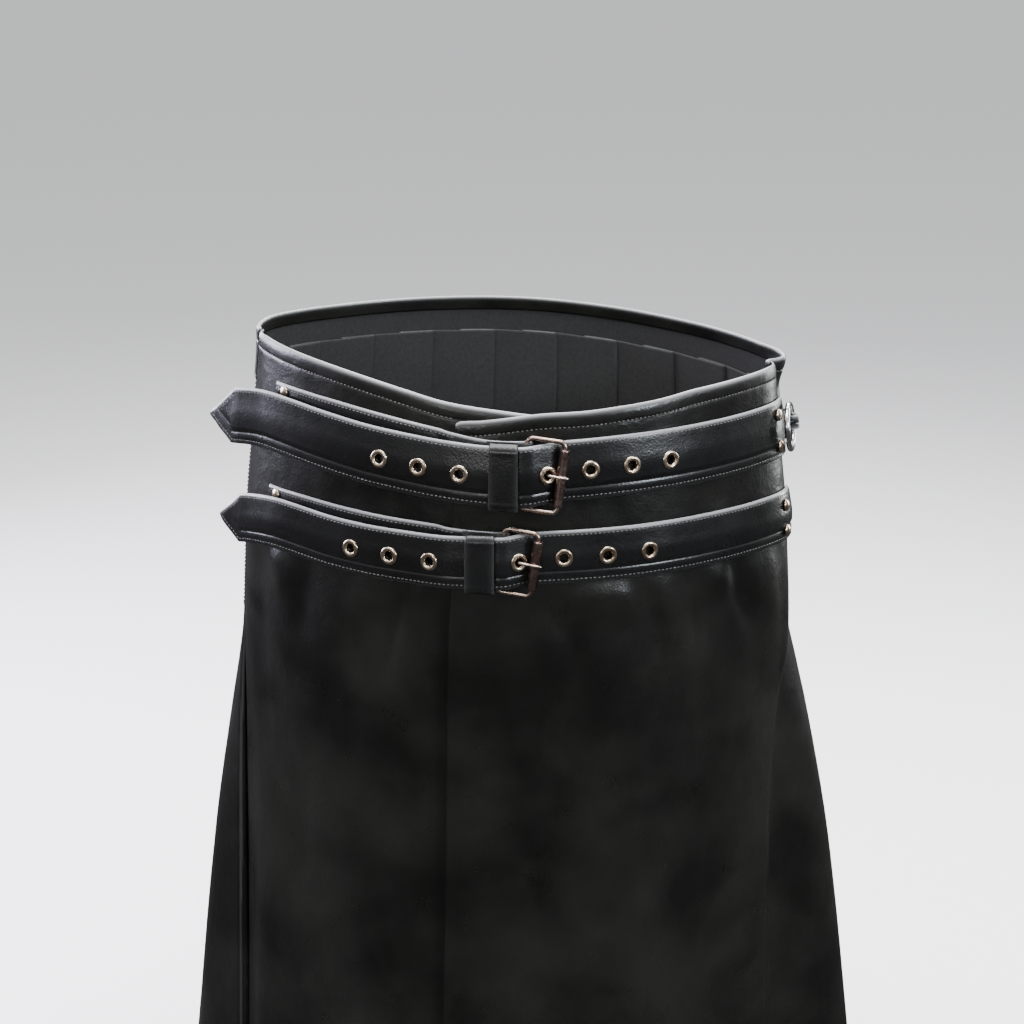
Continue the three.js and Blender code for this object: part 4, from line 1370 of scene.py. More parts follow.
@dataclass
class PleatedBack:
    """One long panel of knife pleats, stitched down to the fell and open below it."""

    form: BodyForm
    finishes: Finishes
    creases: tuple[Crease, ...]
    middle_rows: int = 50
    fold_points: int = 5
    measured_at: float = 1.5
    end_room: float = 0.012
    seam_inset: float = 3.4
    hem_seam: float = 6.0

    def sway(self, turn: Array, height: Array) -> Array:
        """Returns how far the open pleats lean out, which moves all layers together."""
        share = smoothstep(-height, -FELL, 520)
        wave = 1.5 * np.sin(9.3 * turn + 0.6) + 1.2 * np.sin(17.1 * turn + 2.0)
        return share * wave + creased(self.creases, turn, height) * smoothstep(-height, 40, 70)

    def drift(self, turn: Array, height: Array) -> Array:
        """Returns how far the open pleats swing sideways, in turns."""
        share = smoothstep(-height, -FELL, 560)
        return share * 0.010 * np.sin(5.7 * turn + 1.1) * smoothstep(turn, 0.95, 1.2) * (
            1 - smoothstep(turn, 2.85, 3.02))

    def pleat_places(self, height: Array) -> tuple[Array, Array]:
        """Returns the turn where the pleats start, and the width of one in turns, at heights."""
        start = SIDE_EDGES.curve(height, "right")
        end = 4 + SIDE_EDGES.curve(height, "left")
        return start, (end - start - self.end_room) / PLEATS

    def corners(self, height: Array) -> tuple[Array, Array]:
        """Works out the corners of the folded line.

        Args:
            height: Heights.

        Returns:
            Turns and depths, [height][corner].
        """
        start, wide = self.pleat_places(height)
        end = 4 + SIDE_EDGES.curve(height, "left")
        layer, under, rise = (PLEAT_OPEN.curve(height, c) for c in ("layer", "under", "rise"))
        per_turn = 1 / self.form.turn_length(self.measured_at, height)
        under = under * per_turn
        soft = np.minimum(layer, 3) * 0.55 * per_turn
        face = -PLEAT_WALL / 2 + rise
        deep = np.full_like(height, -WALL - SIDE_ROLL - SEAM - PLEAT_WALL / 2)
        spacing = np.maximum((face - deep) / 2, layer)
        back = face - 2 * spacing
        # each pleat: up to the fold, under it, back to the next pleat's start
        line = [(start - PLEAT_TUCK, deep), (start + 0.004, deep)]
        for k in range(PLEATS):
            at, fold = start + wide * k, start + wide * (k + 1)
            line += [
                (mix(at, fold, 0.55), mix(back, face, 0.72)), (fold - soft, face),
                (fold, face - spacing / 2), (fold - soft, face - spacing),
                (fold - under + soft, face - spacing), (fold - under, face - spacing * 1.5),
                (fold - under + soft, back),
            ]
            if k < PLEATS - 1:
                line.append((fold + soft * 1.5, back))
        line += [(end + 0.01, deep), (end + PLEAT_TUCK, deep)]
        return np.stack([p[0] for p in line], 1), np.stack([p[1] for p in line], 1)

    def folded_line(self, height: Array, length: Array) -> tuple[Array, Array]:
        """Rounds the folded line's corners and splits its long stretches.

        Args:
            height: Heights.
            length: Length of a turn at each of them.

        Returns:
            Points, [height][point], as millimetres round the body and depth, and their normals.
        """
        turn, depth = self.corners(height)
        flat = np.stack([turn * length[:, None], depth], -1)
        line, start = [flat[:, 0]], flat[:, 0]
        for k in range(1, flat.shape[1] - 1):
            here, before, after = flat[:, k], flat[:, k - 1], flat[:, k + 1]
            into, onto = here - before, after - here
            size_in = np.linalg.norm(into, axis=1, keepdims=True)
            size_out = np.linalg.norm(onto, axis=1, keepdims=True)
            cut = np.minimum(np.minimum(size_in, size_out) * 0.48, 5.0)
            first, last = here - into / size_in * cut, here + onto / size_out * cut
            gap = np.linalg.norm(first - start, axis=1).max()
            line += [mix(start, first, share) for share in np.linspace(0, 1, int(gap / 7) + 2)[1:-1]]
            for t in np.linspace(0, 1, self.fold_points):
                line.append((1 - t) ** 2 * first + 2 * t * (1 - t) * here + t * t * last)
            start = last
        line.append(flat[:, -1])
        path = np.stack(line, 1)
        return path, flat_normals(path)

    def build(self) -> bpy.types.Object:
        """Builds the pleated panel."""
        levels = np.concatenate([np.linspace(0, FELL, 24), np.linspace(FELL, HEM, 60)[1:]])
        length = self.form.turn_length(self.measured_at, levels)
        path, across = self.folded_line(levels, length)
        turns = path[..., 0] / length[:, None]
        rim = turns[0]
        top = BACK_TOP.curve(rim, "top") - BAND_DEEP + BAND_LAP
        high = top[:, None] - np.array([0, 0.2, 0.8, 2, 5])[None]
        low = HEM + np.array([14, 8, 6.4, 6, 5.6, 3, 1.4, 0.7, 0.25, 0])[None] + 0 * top[:, None]
        share = np.linspace(0, 1, self.middle_rows + 2)[1:-1]
        height = np.concatenate([high, mix(high[:, -1:], low[:, :1], share[None]), low], 1)
        rising = levels[::-1]
        read = lambda grid: np.stack(
            [np.interp(height[c], rising, grid[::-1, c]) for c in range(len(rim))]
        )
        turn, depth, out_x, out_y = (
            read(grid) for grid in (turns, path[..., 1], across[..., 0], across[..., 1])
        )
        size = np.interp(height, rising, length[::-1])
        along = distances(path[0])
        ends = np.minimum(along, along[-1] - along)[:, None]
        near = np.minimum.reduce([height[:, :1] - height, height - HEM, ends + 0 * height])
        outward, inward = rounded(
            0 * height + PLEAT_WALL / 2, 0 * height - PLEAT_WALL / 2, near
        )
        swing = self.drift(turn, height)

        def side(distance: Array) -> Array:
            """Returns the face at a distance from the middle layer."""
            around = turn + out_x * distance / size
            lift = depth + out_y * distance + self.sway(turn, height)
            return self.form.point(around + swing, height, lift)

        lined = np.ones_like(height, bool)
        face = -PLEAT_WALL / 2 + PLEAT_OPEN.curve(height, "rise")
        fold = (depth > face - 1.6) & (np.abs(out_y) < 0.8)
        # a painted highlight, with some wear, along the edges and on the pleats' outer folds
        wear_and_highlight = 0.10 * np.exp(-near / 1.4) + 0.07 * fold
        piece = make_shell(
            "pleated_back_leather", side(outward), side(inward),
            [self.finishes.back, self.finishes.flesh], lined, wear_and_highlight,
        )
        return finish_piece(piece, Slot.BACK, "pleated_back")

    def fold_turns(self, height: Array) -> list[Array]:
        """Returns the turn of each pleat's visible fold at heights."""
        start, wide = self.pleat_places(height)
        return [start + wide * (k + 1) for k in range(PLEATS)]

    def stitches(self) -> Array:
        """Returns the stitches that hold each pleat down to the fell, and the hem's."""
        rows = []

        def row(turn: Array, height: Array, lift: Array) -> None:
            """Adds a row of stitches."""
            moved = lift + self.sway(turn, height)
            around = turn + self.drift(turn, height)
            rows.append(stitch_row(self.form, around, height, moved))

        height = np.linspace(-24, FELL, 120)
        for fold in self.fold_turns(height):
            row(fold - self.seam_inset / TURN_LENGTH, height, 0 * height)
        for fold in self.fold_turns(np.full(24, FELL - 1)):
            inset = np.linspace(15, self.seam_inset, 24)
            row(fold - inset / TURN_LENGTH, np.full(24, FELL - 1), np.zeros(24))
        low = np.full(60, HEM + self.hem_seam)
        length = float(self.form.turn_length(self.measured_at, HEM))
        turn, depth = self.corners(low[:1])
        for k in range(PLEATS):
            first = 2 + PLEAT_CORNERS * k
            last = first + 1
            share = np.linspace(0.12, 0.95, 60)
            at = mix(turn[0, first], turn[0, last] - 2 / length, share)
            deep = mix(depth[0, first], depth[0, last], share)
            row(at, low, deep + PLEAT_WALL / 2)
        return np.concatenate(rows)


@dataclass
class BackWaistband:
    """The band over the top of the pleats, with a turned top edge."""

    form: BodyForm
    finishes: Finishes
    columns: int = 190
    rows_between: int = 14
    tuck: float = 0.02
    flare: float = 6.0

    def ends(self) -> tuple[float, float]:
        """Returns the turns of both ends."""
        start = float(SIDE_EDGES.line(0, "right")) + SIDE_GAP
        return start - self.tuck, 4 + float(SIDE_EDGES.line(0, "left")) - SIDE_GAP

    def faces(self, turn: Array, from_top: Array) -> tuple[Array, Array]:
        """Works out both faces, before the edges are rounded.

        Args:
            turn: Places round the body.
            from_top: Distances below the rim.

        Returns:
            The lifts of the outer and the inner face.
        """
        start, end = self.ends()
        start = start + self.tuck
        rise = smoothstep(turn, start - 0.004, start + 0.045)
        base = mix(-SIDE_ROLL - WALL - 0.3, SEAM + BAND_WALL, rise) - 1.7 * smoothstep(turn, end - 0.05, end)
        # the band's end stands off the outer apron near the rim
        flare = smoothstep(turn, start - 0.003, start + 0.022)
        flare = flare * (1 - smoothstep(turn, start + 0.035, start + 0.15))
        base = base + self.flare * flare * (1 - smoothstep(from_top, 0, 24))
        fold = FOLD_THICK * turned(from_top, FOLD_DEEP)
        swell = 0.32 * np.sin(math.pi * np.clip(from_top / FOLD_DEEP, 0, 1)) ** 0.8
        swell = swell + 0.12 * bump(from_top, 12.4, 1.8) + 0.15 * bump(from_top, 30, 3)
        swell -= 0.38 * bump(from_top, FOLD_DEEP, 0.55) + 0.3 * bump(from_top, BAND_SEAM, 0.5)
        return base + swell, base - BAND_WALL - fold

    def build(self) -> bpy.types.Object:
        """Builds the band."""
        start, end = self.ends()
        turn = mix(start, end, edge_shares((end - start) * TURN_LENGTH, self.columns))[:, None]
        low = np.array([BAND_DEEP - d for d in (4.4, 3.6, 3.3, 3.0, 2.7, 2.3, 1.5, 0.9, 0.4, 0.12, 0)])
        between = np.linspace(TOP_ROWS[-1], low[0], self.rows_between + 2)[1:-1]
        from_top = np.concatenate([TOP_ROWS, between, low])[None] + 0 * turn
        turn = turn + 0 * from_top
        height = BACK_TOP.curve(turn, "top") - from_top
        outside, inside = self.faces(turn, from_top)
        near = np.minimum.reduce([
            from_top, BAND_DEEP - from_top, (turn - start) * TURN_LENGTH, (end - turn) * TURN_LENGTH,
        ])
        outside, inside = rounded(outside, inside, near)
        lined = from_top > FOLD_DEEP + FOLD_STEP
        # a painted highlight along the rim, and a little along every edge
        wear_and_highlight = bump(from_top, 0, RIM_HIGHLIGHT) + 0.06 * np.exp(-near / 1.4)
        piece = make_shell(
            "back_waistband_leather", self.form.point(turn, height, outside),
            self.form.point(turn, height, inside), [self.finishes.back, self.finishes.flesh], lined, wear_and_highlight,
        )
        return finish_piece(piece, Slot.BACK, "back_waistband")

    def stitches(self) -> Array:
        """Returns the stitches of the turned top edge and of the lower edge."""
        start, end = self.ends()
        turn = np.linspace(start + 0.012, end - 0.012, 600)
        rows = []
        for down in (FOLD_DEEP, BAND_SEAM):
            height = BACK_TOP.curve(turn, "top") - down
            outside, _ = self.faces(turn, down + 0 * turn)
            rows.append(stitch_row(self.form, turn, height, outside))
        return np.concatenate(rows)


# Straps.


@dataclass(frozen=True)
class StrapSizes:
    """Where a strap and its parts lie, by turn."""

    name: str
    high: float
    heel: float
    roller: float
    keeper: float
    first_eyelet: float
    eyelet_step: float
    tip: Table
    base: Table
    left_rivets: tuple[tuple[float, float], ...]
    right_rivets: tuple[tuple[float, float], ...]
    eyelets: int = 8
    used: int = 4
    slope_height: float = -80.0

    def top(self, turn: Array) -> Array:
        """Returns the height of the tip strap's top edge."""
        return self.tip.curve(turn, "top")

    def lift(self, turn: Array) -> Array:
        """Returns the lift of the tip strap's inner face."""
        return self.tip.curve(turn, "lift")

    def middle(self) -> float:
        """Returns the height of the strap's middle at the keeper."""
        return float(self.top(self.keeper)) - self.high / 2


def round_bar(
    turn: float, lift: float, radius: float, length: float, start: float
) -> list[tuple[float, float]]:
    """Runs leather half way round a bar.

    Args:
        turn: Place of the bar round the body.
        lift: Distance of the bar outside the form.
        radius: Distance of the leather's middle from the bar's.
        length: Length of a turn.
        start: Angle at which the half circle starts, in degrees.

    Returns:
        Stations as (turn, lift).
    """
    angles = [math.radians(start + 30 * k) for k in range(7)]
    return [(turn + math.cos(a) * radius / length, lift + math.sin(a) * radius) for a in angles]


@dataclass
class Sweep:
    """A strap swept along a path of stations."""

    form: BodyForm
    turn: Array
    lift: Array
    top: Array
    bottom: Array
    lean: Array
    centre: float

    def __post_init__(self) -> None:
        """Works out the path's length and the directions across it."""
        self.length = float(self.form.turn_length(0, self.centre))
        flat = np.stack([self.turn * self.length, self.lift], -1)
        self.across = flat_normals(flat)
        self.along = distances(flat)

    def at(self, height: Array, distance: Array) -> Array:
        """Finds points of the strap.

        Args:
            height: Heights, [station, ...].
            distance: Distances across the path, [station, ...].

        Returns:
            Points in millimetres.
        """
        many = (slice(None),) + (None,) * (np.ndim(height) - 1)
        around = self.turn[many] + self.lean[many] * (height - self.centre) / self.length
        around = around + self.across[:, 0][many] * distance / self.length
        return self.form.point(around, height, self.lift[many] + self.across[:, 1][many] * distance)

    def row(self, height: Array, distance: Array, chosen: Array) -> Array:
        """Returns stitches along the chosen stations at one height and distance each."""
        line = self.at(height, distance)[chosen]
        return stitch_marks(line, self.at(height, distance + 1)[chosen] - line)


@dataclass
class StrapSet:
    """A strap set: both straps, the keeper, the buckle, the eyelets and the rivets."""

    form: BodyForm
    finishes: Finishes
    scatter: Scatter
    sizes: StrapSizes
    wire: float = 1.6
    roller_radius: float = 3.3
    prong_radius: float = 1.0
    bar_room: float = 0.95
    keeper_thick: float = 1.8
    keeper_wide: float = 17.0
    keeper_room: float = 1.9
    stitch_inset: float = 2.8
    pulled_up: float = 0.6
    buckle_lean: float = 8.0
    frame_more: float = 7.2
    frame_up: float = 0.6
    frame_corner: float = 4.0
    roller_inset: float = 4.6
    point_turns: float = 0.088
    narrower: float = 1.6
    hole_radius: float = 3.9
    cut_deep: float = 8.0
    slot_half_long: float = 5.5
    slot_half_high: float = 2.1

    def __post_init__(self) -> None:
        """Works out the lifts of the buckle's bars."""
        self.leaf = SEAM + WALL + 0.8
        self.heel_lift = self.leaf + SKIVED + self.bar_room + self.wire - 0.2
        self.roller_lift = 3.7 + STRAP_THICK + SEAM + self.roller_radius

    # the tip strap

    def padding(self, from_top: Array, from_bottom: Array) -> Array:
        """Works out the padded outer face.

        Args:
            from_top: Distances from the top edge.
            from_bottom: Distances from the bottom edge.

        Returns:
            The face's distance from the middle layer.
        """
        edge = np.minimum(from_top, from_bottom)
        padded = STRAP_THICK - STRAP_THIN / 2
        # padded above the flat lower margin, and falling softly to the top edge
        share = smoothstep(from_bottom, 8.6, 12.0) * smoothstep(from_top, 1.0, 17.0)
        face = mix(STRAP_THIN / 2, padded, share) + 0.28 * smoothstep(edge, 10, self.sizes.high / 2)
        # a roll in the margin, the rounded top edge, and the grooves of the padding and the stitches
        face = face + 0.20 * bump(from_bottom, 5.6, 1.9)
        face = face - 1.0 * (1 - np.clip(from_top / 3.0, 0, 1)) ** 2
        face = face - 0.40 * bump(from_bottom, STRAP_MARGIN, 0.6)
        return face - 0.26 * (bump(from_top, 2.9, 0.6) + bump(from_bottom, 2.8, 0.6))

    def tip_sweep(self) -> tuple[Sweep, Array]:
        """Returns the tip strap's path, and the cosine of its edges' slant at each station."""
        tip = self.sizes.tip.key
        first, last, shoulder = tip[0], tip[-1], tip[0] + self.point_turns
        point = np.linspace(first, shoulder, 40, endpoint=False)
        turn = np.concatenate([point, np.linspace(shoulder, last, 300)])
        share = np.clip((turn - first) / (shoulder - first), 0, 1)
        high = np.maximum(1.2, self.sizes.high * share)
        middle = self.sizes.top(turn) - self.sizes.high / 2
        sweep = Sweep(
            self.form, turn, self.sizes.lift(turn) + STRAP_THIN / 2, middle + high / 2,
            middle - high / 2, 0 * turn, self.sizes.middle(),
        )
        slant = math.cos(math.atan2(self.sizes.high / 2, self.point_turns * TURN_LENGTH))
        return sweep, mix(slant, 1.0, smoothstep(turn, shoulder - 0.006, shoulder + 0.006))

    def wear_and_highlight(self, down: Array, near: Array) -> Array:
        """Returns the painted highlight along the top edge, and a little wear along every edge."""
        return bump(down, 0, 1.3) + 0.03 * np.exp(-near / 1.1)

    def build_tip_strap(self) -> bpy.types.Object:
        """Builds the padded strap with its pointed end and its holes."""
        sweep, slant = self.tip_sweep()
        share = edge_shares(self.sizes.high, 58)
        height = mix(sweep.top[:, None], sweep.bottom[:, None], share[None])
        down = (sweep.top[:, None] - height) * slant[:, None]
        up = (height - sweep.bottom[:, None]) * slant[:, None]
        edge = np.minimum(down, up)
        near = np.minimum(edge, (sweep.along[-1] - sweep.along)[:, None])
        near[0] = 0
        # the padding starts behind the pointed end
        loose = mix(0.2, 1.0, smoothstep(sweep.along, 10, 48))[:, None]
        face = mix(STRAP_THIN / 2, self.padding(down, up), loose)
        outward, inward = rounded(face, 0 * edge - STRAP_THIN / 2, near)
        # a painted highlight along the top edge, and a little wear along every edge
        wear_and_highlight = np.clip(self.wear_and_highlight(down, near), 0, 1)
        name = self.sizes.name + "_tip_strap"
        piece = make_shell(
            name + "_leather", sweep.at(height, outward), sweep.at(height, inward),
            [self.finishes.strap, self.finishes.flesh], np.ones_like(height, bool), wear_and_highlight,
        )
        cutters = []
        deep, radius = self.cut_deep, self.hole_radius
        profile = [(0, -deep), (radius, -deep), (radius, deep), (0, deep)]
        for k in range(self.sizes.eyelets):
            points, faces = lathe(profile, 24)
            cutters.append(make_piece("hole", placed(points, self.eyelet_frame(k)), faces, [], solid=True))
        cut_away(piece, cutters)
        return finish_piece(piece, Slot.STRAP, name)

    def tip_stitches(self) -> Array:
        """Returns the stitches along both edges and round the point."""
        sweep, slant = self.tip_sweep()
        inset = self.stitch_inset / slant
        half = (sweep.top - sweep.bottom) / 2
        inside = (half > inset + 0.5) & (sweep.along < sweep.along[-1] - 3)
        covered = np.abs(sweep.turn - self.sizes.keeper) < self.keeper_wide / 2 / TURN_LENGTH
        near, far = np.array(self.stitch_inset), np.array(self.sizes.high - self.stitch_inset)
        high = float(self.padding(near, far)) + 0 * sweep.turn
        low = float(self.padding(far, near)) + 0 * sweep.turn
        rows = []
        for chosen in (inside & ~covered & (sweep.turn < self.sizes.keeper),
                       inside & ~covered & (sweep.turn > self.sizes.keeper)):
            rows.append(sweep.row(sweep.top - inset, high, chosen))
            rows.append(sweep.row(sweep.bottom + inset, low, chosen))
        return np.concatenate(rows)

    # the buckle strap

    def buckle_sweep(self) -> tuple[Sweep, Array]:
        """Returns the buckle strap's path and its thickness at each station."""
        sizes = self.sizes
        length = float(self.form.turn_length(0, sizes.middle()))
        loop = self.wire + self.bar_room + SKIVED / 2
        inside = BUCKLE_STRAP_REST + BUCKLE_STRAP_THICK / 2
        rise = FREE_TOP - 0.02
        leaf = self.leaf + SKIVED / 2
        stations = [(t, inside, BUCKLE_STRAP_THICK) for t in np.linspace(sizes.base.key[0], rise - 0.03, 30)]
        stations += [(t, leaf, SKIVED) for t in np.linspace(rise, sizes.heel - 0.02, 6)]
        bend = round_bar(sizes.heel, self.heel_lift, loop, length, -90)
        stations += [(turn, lift, SKIVED) for turn, lift in bend]
        stations += [
            (sizes.heel - 0.02, leaf + SKIVED * 2 + 1.2, SKIVED),
            (sizes.heel - 0.045, leaf + SKIVED + 0.5, SKIVED),
            (sizes.heel - 0.105, leaf + SKIVED + 0.3, SKIVED),
        ]
        corners = np.array(stations) * np.array([length, 1, 1])
        line = smooth_line(corners, 7)
        turn = line[:, 0] / length
        place = np.minimum(turn, sizes.heel)
        top = sizes.base.curve(place, "top")
        sweep = Sweep(
            self.form, turn, line[:, 1], top, top - sizes.high + self.narrower,
            sizes.base.line(place, "lean"), sizes.middle(),
        )
        return sweep, line[:, 2]

    def build_buckle_strap(self) -> bpy.types.Object:
        """Builds the strap that folds round the heel bar, with the prong's slot."""
        sweep, thick = self.buckle_sweep()
        share = edge_shares(self.sizes.high, 34)
        height = mix(sweep.top[:, None], sweep.bottom[:, None], share[None])
        edge = np.minimum(sweep.top[:, None] - height, height - sweep.bottom[:, None])
        ends = np.minimum(sweep.along, sweep.along[-1] - sweep.along)[:, None]
        near = np.minimum(edge, ends)
        whole = (thick / BUCKLE_STRAP_THICK)[:, None]
        down = sweep.top[:, None] - height
        face = 0.16 * bump(edge, 6, 2.4) - 0.24 * bump(edge, 2.8, 0.6)
        face = face - 0.6 * (1 - np.clip(down / 2.4, 0, 1)) ** 2
        face = thick[:, None] / 2 + face * whole
        outward, inward = rounded(face, 0 * edge - thick[:, None] / 2, near)
        name = self.sizes.name + "_buckle_strap"
        # the light edge colour: a painted highlight along the top edge, and a little wear along every edge
        piece = make_shell(
            name + "_leather", sweep.at(height, outward), sweep.at(height, inward),
            [self.finishes.strap, self.finishes.flesh], np.ones_like(height, bool),
            self.wear_and_highlight(down, near),
        )
        span, _, frame_place = self.buckle_frame()
        long, high = self.slot_half_long, self.slot_half_high
        box = np.array([(x, y, z) for x in (-long, long) for y in (-high, high) for z in (-long, long)])
        box[:, 0] -= span / 2
        faces = [(0, 1, 3, 2), (4, 6, 7, 5), (0, 4, 5, 1), (2, 3, 7, 6), (0, 2, 6, 4), (1, 5, 7, 3)]
        cut_away(piece, [make_piece("slot", placed(box, frame_place), faces, [], solid=True)])
        return finish_piece(piece, Slot.STRAP, name)

    def buckle_stitches(self) -> Array:
        """Returns the stitches along both edges of the buckle strap's visible stretch."""
        sweep, thick = self.buckle_sweep()
        first = np.arange(len(thick)) < np.argmax(sweep.turn)
        chosen = first & (sweep.turn < FREE_TOP) & (sweep.along > 3)
        distance = thick / 2 - 0.1
        inset = self.stitch_inset
        rows = [
            sweep.row(sweep.top - inset, distance, chosen),
            sweep.row(sweep.bottom + inset, distance, chosen),
        ]
        down = np.linspace(inset, self.sizes.high - self.narrower - inset, 40)
        turn = float(sweep.turn[0]) + inset / TURN_LENGTH
        lift = BUCKLE_STRAP_REST + BUCKLE_STRAP_THICK - 0.1
        rows.append(stitch_row(self.form, turn, float(sweep.top[0]) - down, lift))
        return np.concatenate(rows)

    # the keeper

    def build_keeper(self) -> bpy.types.Object:
        """Builds the band over the strap, whose ends turn in behind its edges."""
        sizes, half = self.sizes, self.keeper_wide / 2
        offsets = mix(-half, half, edge_shares(self.keeper_wide, 12))
        grids = []
        for offset in offsets:
            turn = sizes.keeper + offset / TURN_LENGTH
            top = float(sizes.top(turn)) + 0.5
            bottom, g = top - sizes.high - 1.0, self.keeper_thick / 2
            back = float(sizes.lift(turn)) - 1.0
            front = back + 1.0 + STRAP_THICK + self.keeper_room
            swell = 0.35 * (1 - (offset / half) ** 2)
            corners = [
                (top + g, back), (top + g, back + 2.6), (top + g - 0.3, front - 1.5), (top - 2.2, front + g),
                (top - 6, front + g + 0.1), ((top + bottom) / 2, front + g + swell),
                (bottom + 6, front + g + 0.1), (bottom + 2.2, front + g), (bottom - g + 0.3, front - 1.5),
                (bottom - g, back + 2.6), (bottom - g, back),
            ]
            line = smooth_line(np.array(corners), 7)
            across = flat_normals(line)
            if across[len(line) // 2, 1] < 0:
                across = -across
            reach = distances(line)
            near = np.minimum.reduce([reach, reach[-1] - reach, 0 * reach + half - abs(offset)])
            outward, inward = rounded(0 * reach + g, 0 * reach - g, near)
            grids.append([
                self.form.point(turn, line[:, 0] + across[:, 0] * d, line[:, 1] + across[:, 1] * d)
                for d in (outward, inward)
            ])
        outer, inner = (np.array([grid[k] for grid in grids]) for k in (0, 1))
        name = sizes.name + "_keeper"
        # a light painted highlight along both side edges
        wear_and_highlight = 0.06 * np.exp(-(half - np.abs(offsets)) / 1.2)[:, None] + 0 * outer[..., 0]
        piece = make_shell(name + "_leather", outer, inner, [self.finishes.strap], None, wear_and_highlight)
        return finish_piece(piece, Slot.STRAP, name)

    # the buckle

    def buckle_frame(self) -> tuple[float, float, Frame]:
        """Returns the frame's span between its bars, its height and its place."""
        sizes = self.sizes
        length = float(self.form.turn_length(0, sizes.middle()))
        span = (sizes.roller - sizes.heel) * length
        tilt = math.atan2(self.roller_lift - self.heel_lift, span)
        place = self.form.frame(
            (sizes.heel + sizes.roller) / 2, sizes.middle() + self.frame_up,
            (self.heel_lift + self.roller_lift) / 2, self.buckle_lean,
        )
        return span / math.cos(tilt), sizes.high + self.frame_more, place @ Matrix.Rotation(-tilt, 4, "Y")

    def make_metal(
        self, label: str, part: tuple[Array, list], finish: bpy.types.Material, node: str
    ) -> None:
        """Makes a metal part of the buckle.

        Args:
            label: Name of the piece, without the strap's.
            part: Points and faces, in the buckle frame's own millimetres.
            finish: Its material.
            node: Name of the CAD node that it replaces, without the strap's.
        """
        name = self.sizes.name + "_"
        points = placed(part[0], self.buckle_frame()[2])
        piece = make_piece(name + label, points, part[1], [finish], solid=True)
        finish_piece(piece, Slot.GUNMETAL, name + node)

    def build_wire_frame(self) -> None:
        """Builds the frame: a loop of wire with rounded corners."""
        span, tall, _ = self.buckle_frame()
        half_wide, half_tall, corner = span / 2, tall / 2, self.frame_corner
        line = []
        for x, y, start in ((1, 1, 0), (-1, 1, 90), (-1, -1, 180), (1, -1, 270)):
            for k in range(9):
                angle = math.radians(start + 90 * k / 8)
                line.append((
                    x * (half_wide - corner) + corner * math.cos(angle),
                    y * (half_tall - corner) + corner * math.sin(angle), 0,
                ))
            if y != x:
                line.append((x * half_wide, y * half_tall / 3, 0))
                line.append((x * half_wide, -y * half_tall / 3, 0))
            else:
                line.append((x * half_wide / 4, y * half_tall, 0))
                line.append((-x * half_wide / 4, y * half_tall, 0))
        loop = tube(np.array(line), self.wire, 20, Vector((0, 0, 1)), closed=True)
        self.make_metal("buckle_wire", loop, self.finishes.wire, "buckle_frame")

    def build_roller(self) -> None:
        """Builds the roller: a tube with rounded ends on the frame's right bar."""
        span, tall, _ = self.buckle_frame()
        end, bore, r = tall / 2 - self.roller_inset, self.wire + SEAM, self.roller_radius
        profile = [(bore, -end), (r - 0.7, -end), (r - 0.25, -end + 0.15), (r, -end + 0.6), (r, -end + 1.4),
                   (r, 0), (r, end - 1.4), (r, end - 0.6), (r - 0.25, end - 0.15), (r - 0.7, end),
                   (bore, end)]
        points, faces = lathe(profile, 40)
        points = np.stack([points[:, 0] + span / 2, points[:, 2], -points[:, 1]], -1)
        self.make_metal("roller_tube", (points, faces), self.finishes.gunmetal, "roller")

    def build_prong(self) -> None:
        """Builds the prong: hooked round the heel bar, through the eyelet and over the roller."""
        span, _, place = self.buckle_frame()
        hook = self.wire + SEAM + self.prong_radius
        hole = place.inverted() @ self.eyelet_frame(self.sizes.used).translation
        above = self.roller_radius + self.prong_radius + SEAM
        heel, roller = -span / 2, span / 2
        path = [
            (heel - hook * 0.7, -hook * 0.7), (heel - hook, 0), (heel - hook * 0.6, hook * 0.8),
            (heel + hook * 0.3, hook), (heel + hook * 1.2, hook * 0.3), (hole.x - 4.2, hole.z - 4.6),
            (hole.x - 1.6, hole.z - 4.2), (hole.x - 0.5, hole.z - 1.8), (hole.x + 0.5, hole.z + 1.2),
            (roller - 3.2, above - 0.5), (roller, above), (roller + 5.2, above - 0.9),
        ]
        line = smooth_line(np.array([(x, hole.y, z) for x, z in path]), 7)
        radius = np.full(len(line), self.prong_radius)
        radius[-6:] *= np.array([1, 0.99, 0.96, 0.9, 0.76, 0.4])
        self.make_metal("prong_wire", tube(line, radius, 14, Vector((0, 1, 0))), self.finishes.prong, "prong")

    # eyelets and rivets

    def eyelet_frame(self, k: int) -> Frame:
        """Returns the frame of an eyelet on the strap's outer face."""
        sizes = self.sizes
        turn = sizes.first_eyelet + sizes.eyelet_step * k
        lift = float(sizes.lift(turn)) + STRAP_THICK + (self.pulled_up if k == sizes.used else 0)
        place = self.form.frame(turn, float(sizes.top(turn)) - sizes.high / 2, lift)
        length = float(self.form.turn_length(turn, sizes.slope_height))
        rise = float(sizes.lift(turn + 0.008) - sizes.lift(turn - 0.008))
        return place @ Matrix.Rotation(-math.atan2(rise, 0.016 * length), 4, "Y")

    def build_eyelets(self) -> bpy.types.Object:
        """Builds the eyelets: rolled rings over barrels through the strap."""
        profile = [
            (3.6, -3.0), (3.6, 0.3), (6.05, 0.3), (6.1, 0.5), (6.0, 0.85), (5.75, 1.15), (5.35, 1.38),
            (4.85, 1.5), (4.3, 1.46), (3.75, 1.28), (3.35, 1.0), (3.1, 0.62), (3.0, 0.1), (3.0, -3.0),
        ]
        count = self.sizes.eyelets
        name = self.sizes.name
        piece = self.scatter.put(
            name + "_eyelets", lathe(profile, 36), [self.eyelet_frame(k) for k in range(count)],
            self.finishes.brass,
        )
        return finish_piece(piece, Slot.BRASS, *(f"{name}_eyelet_{k + 1}" for k in range(count)))

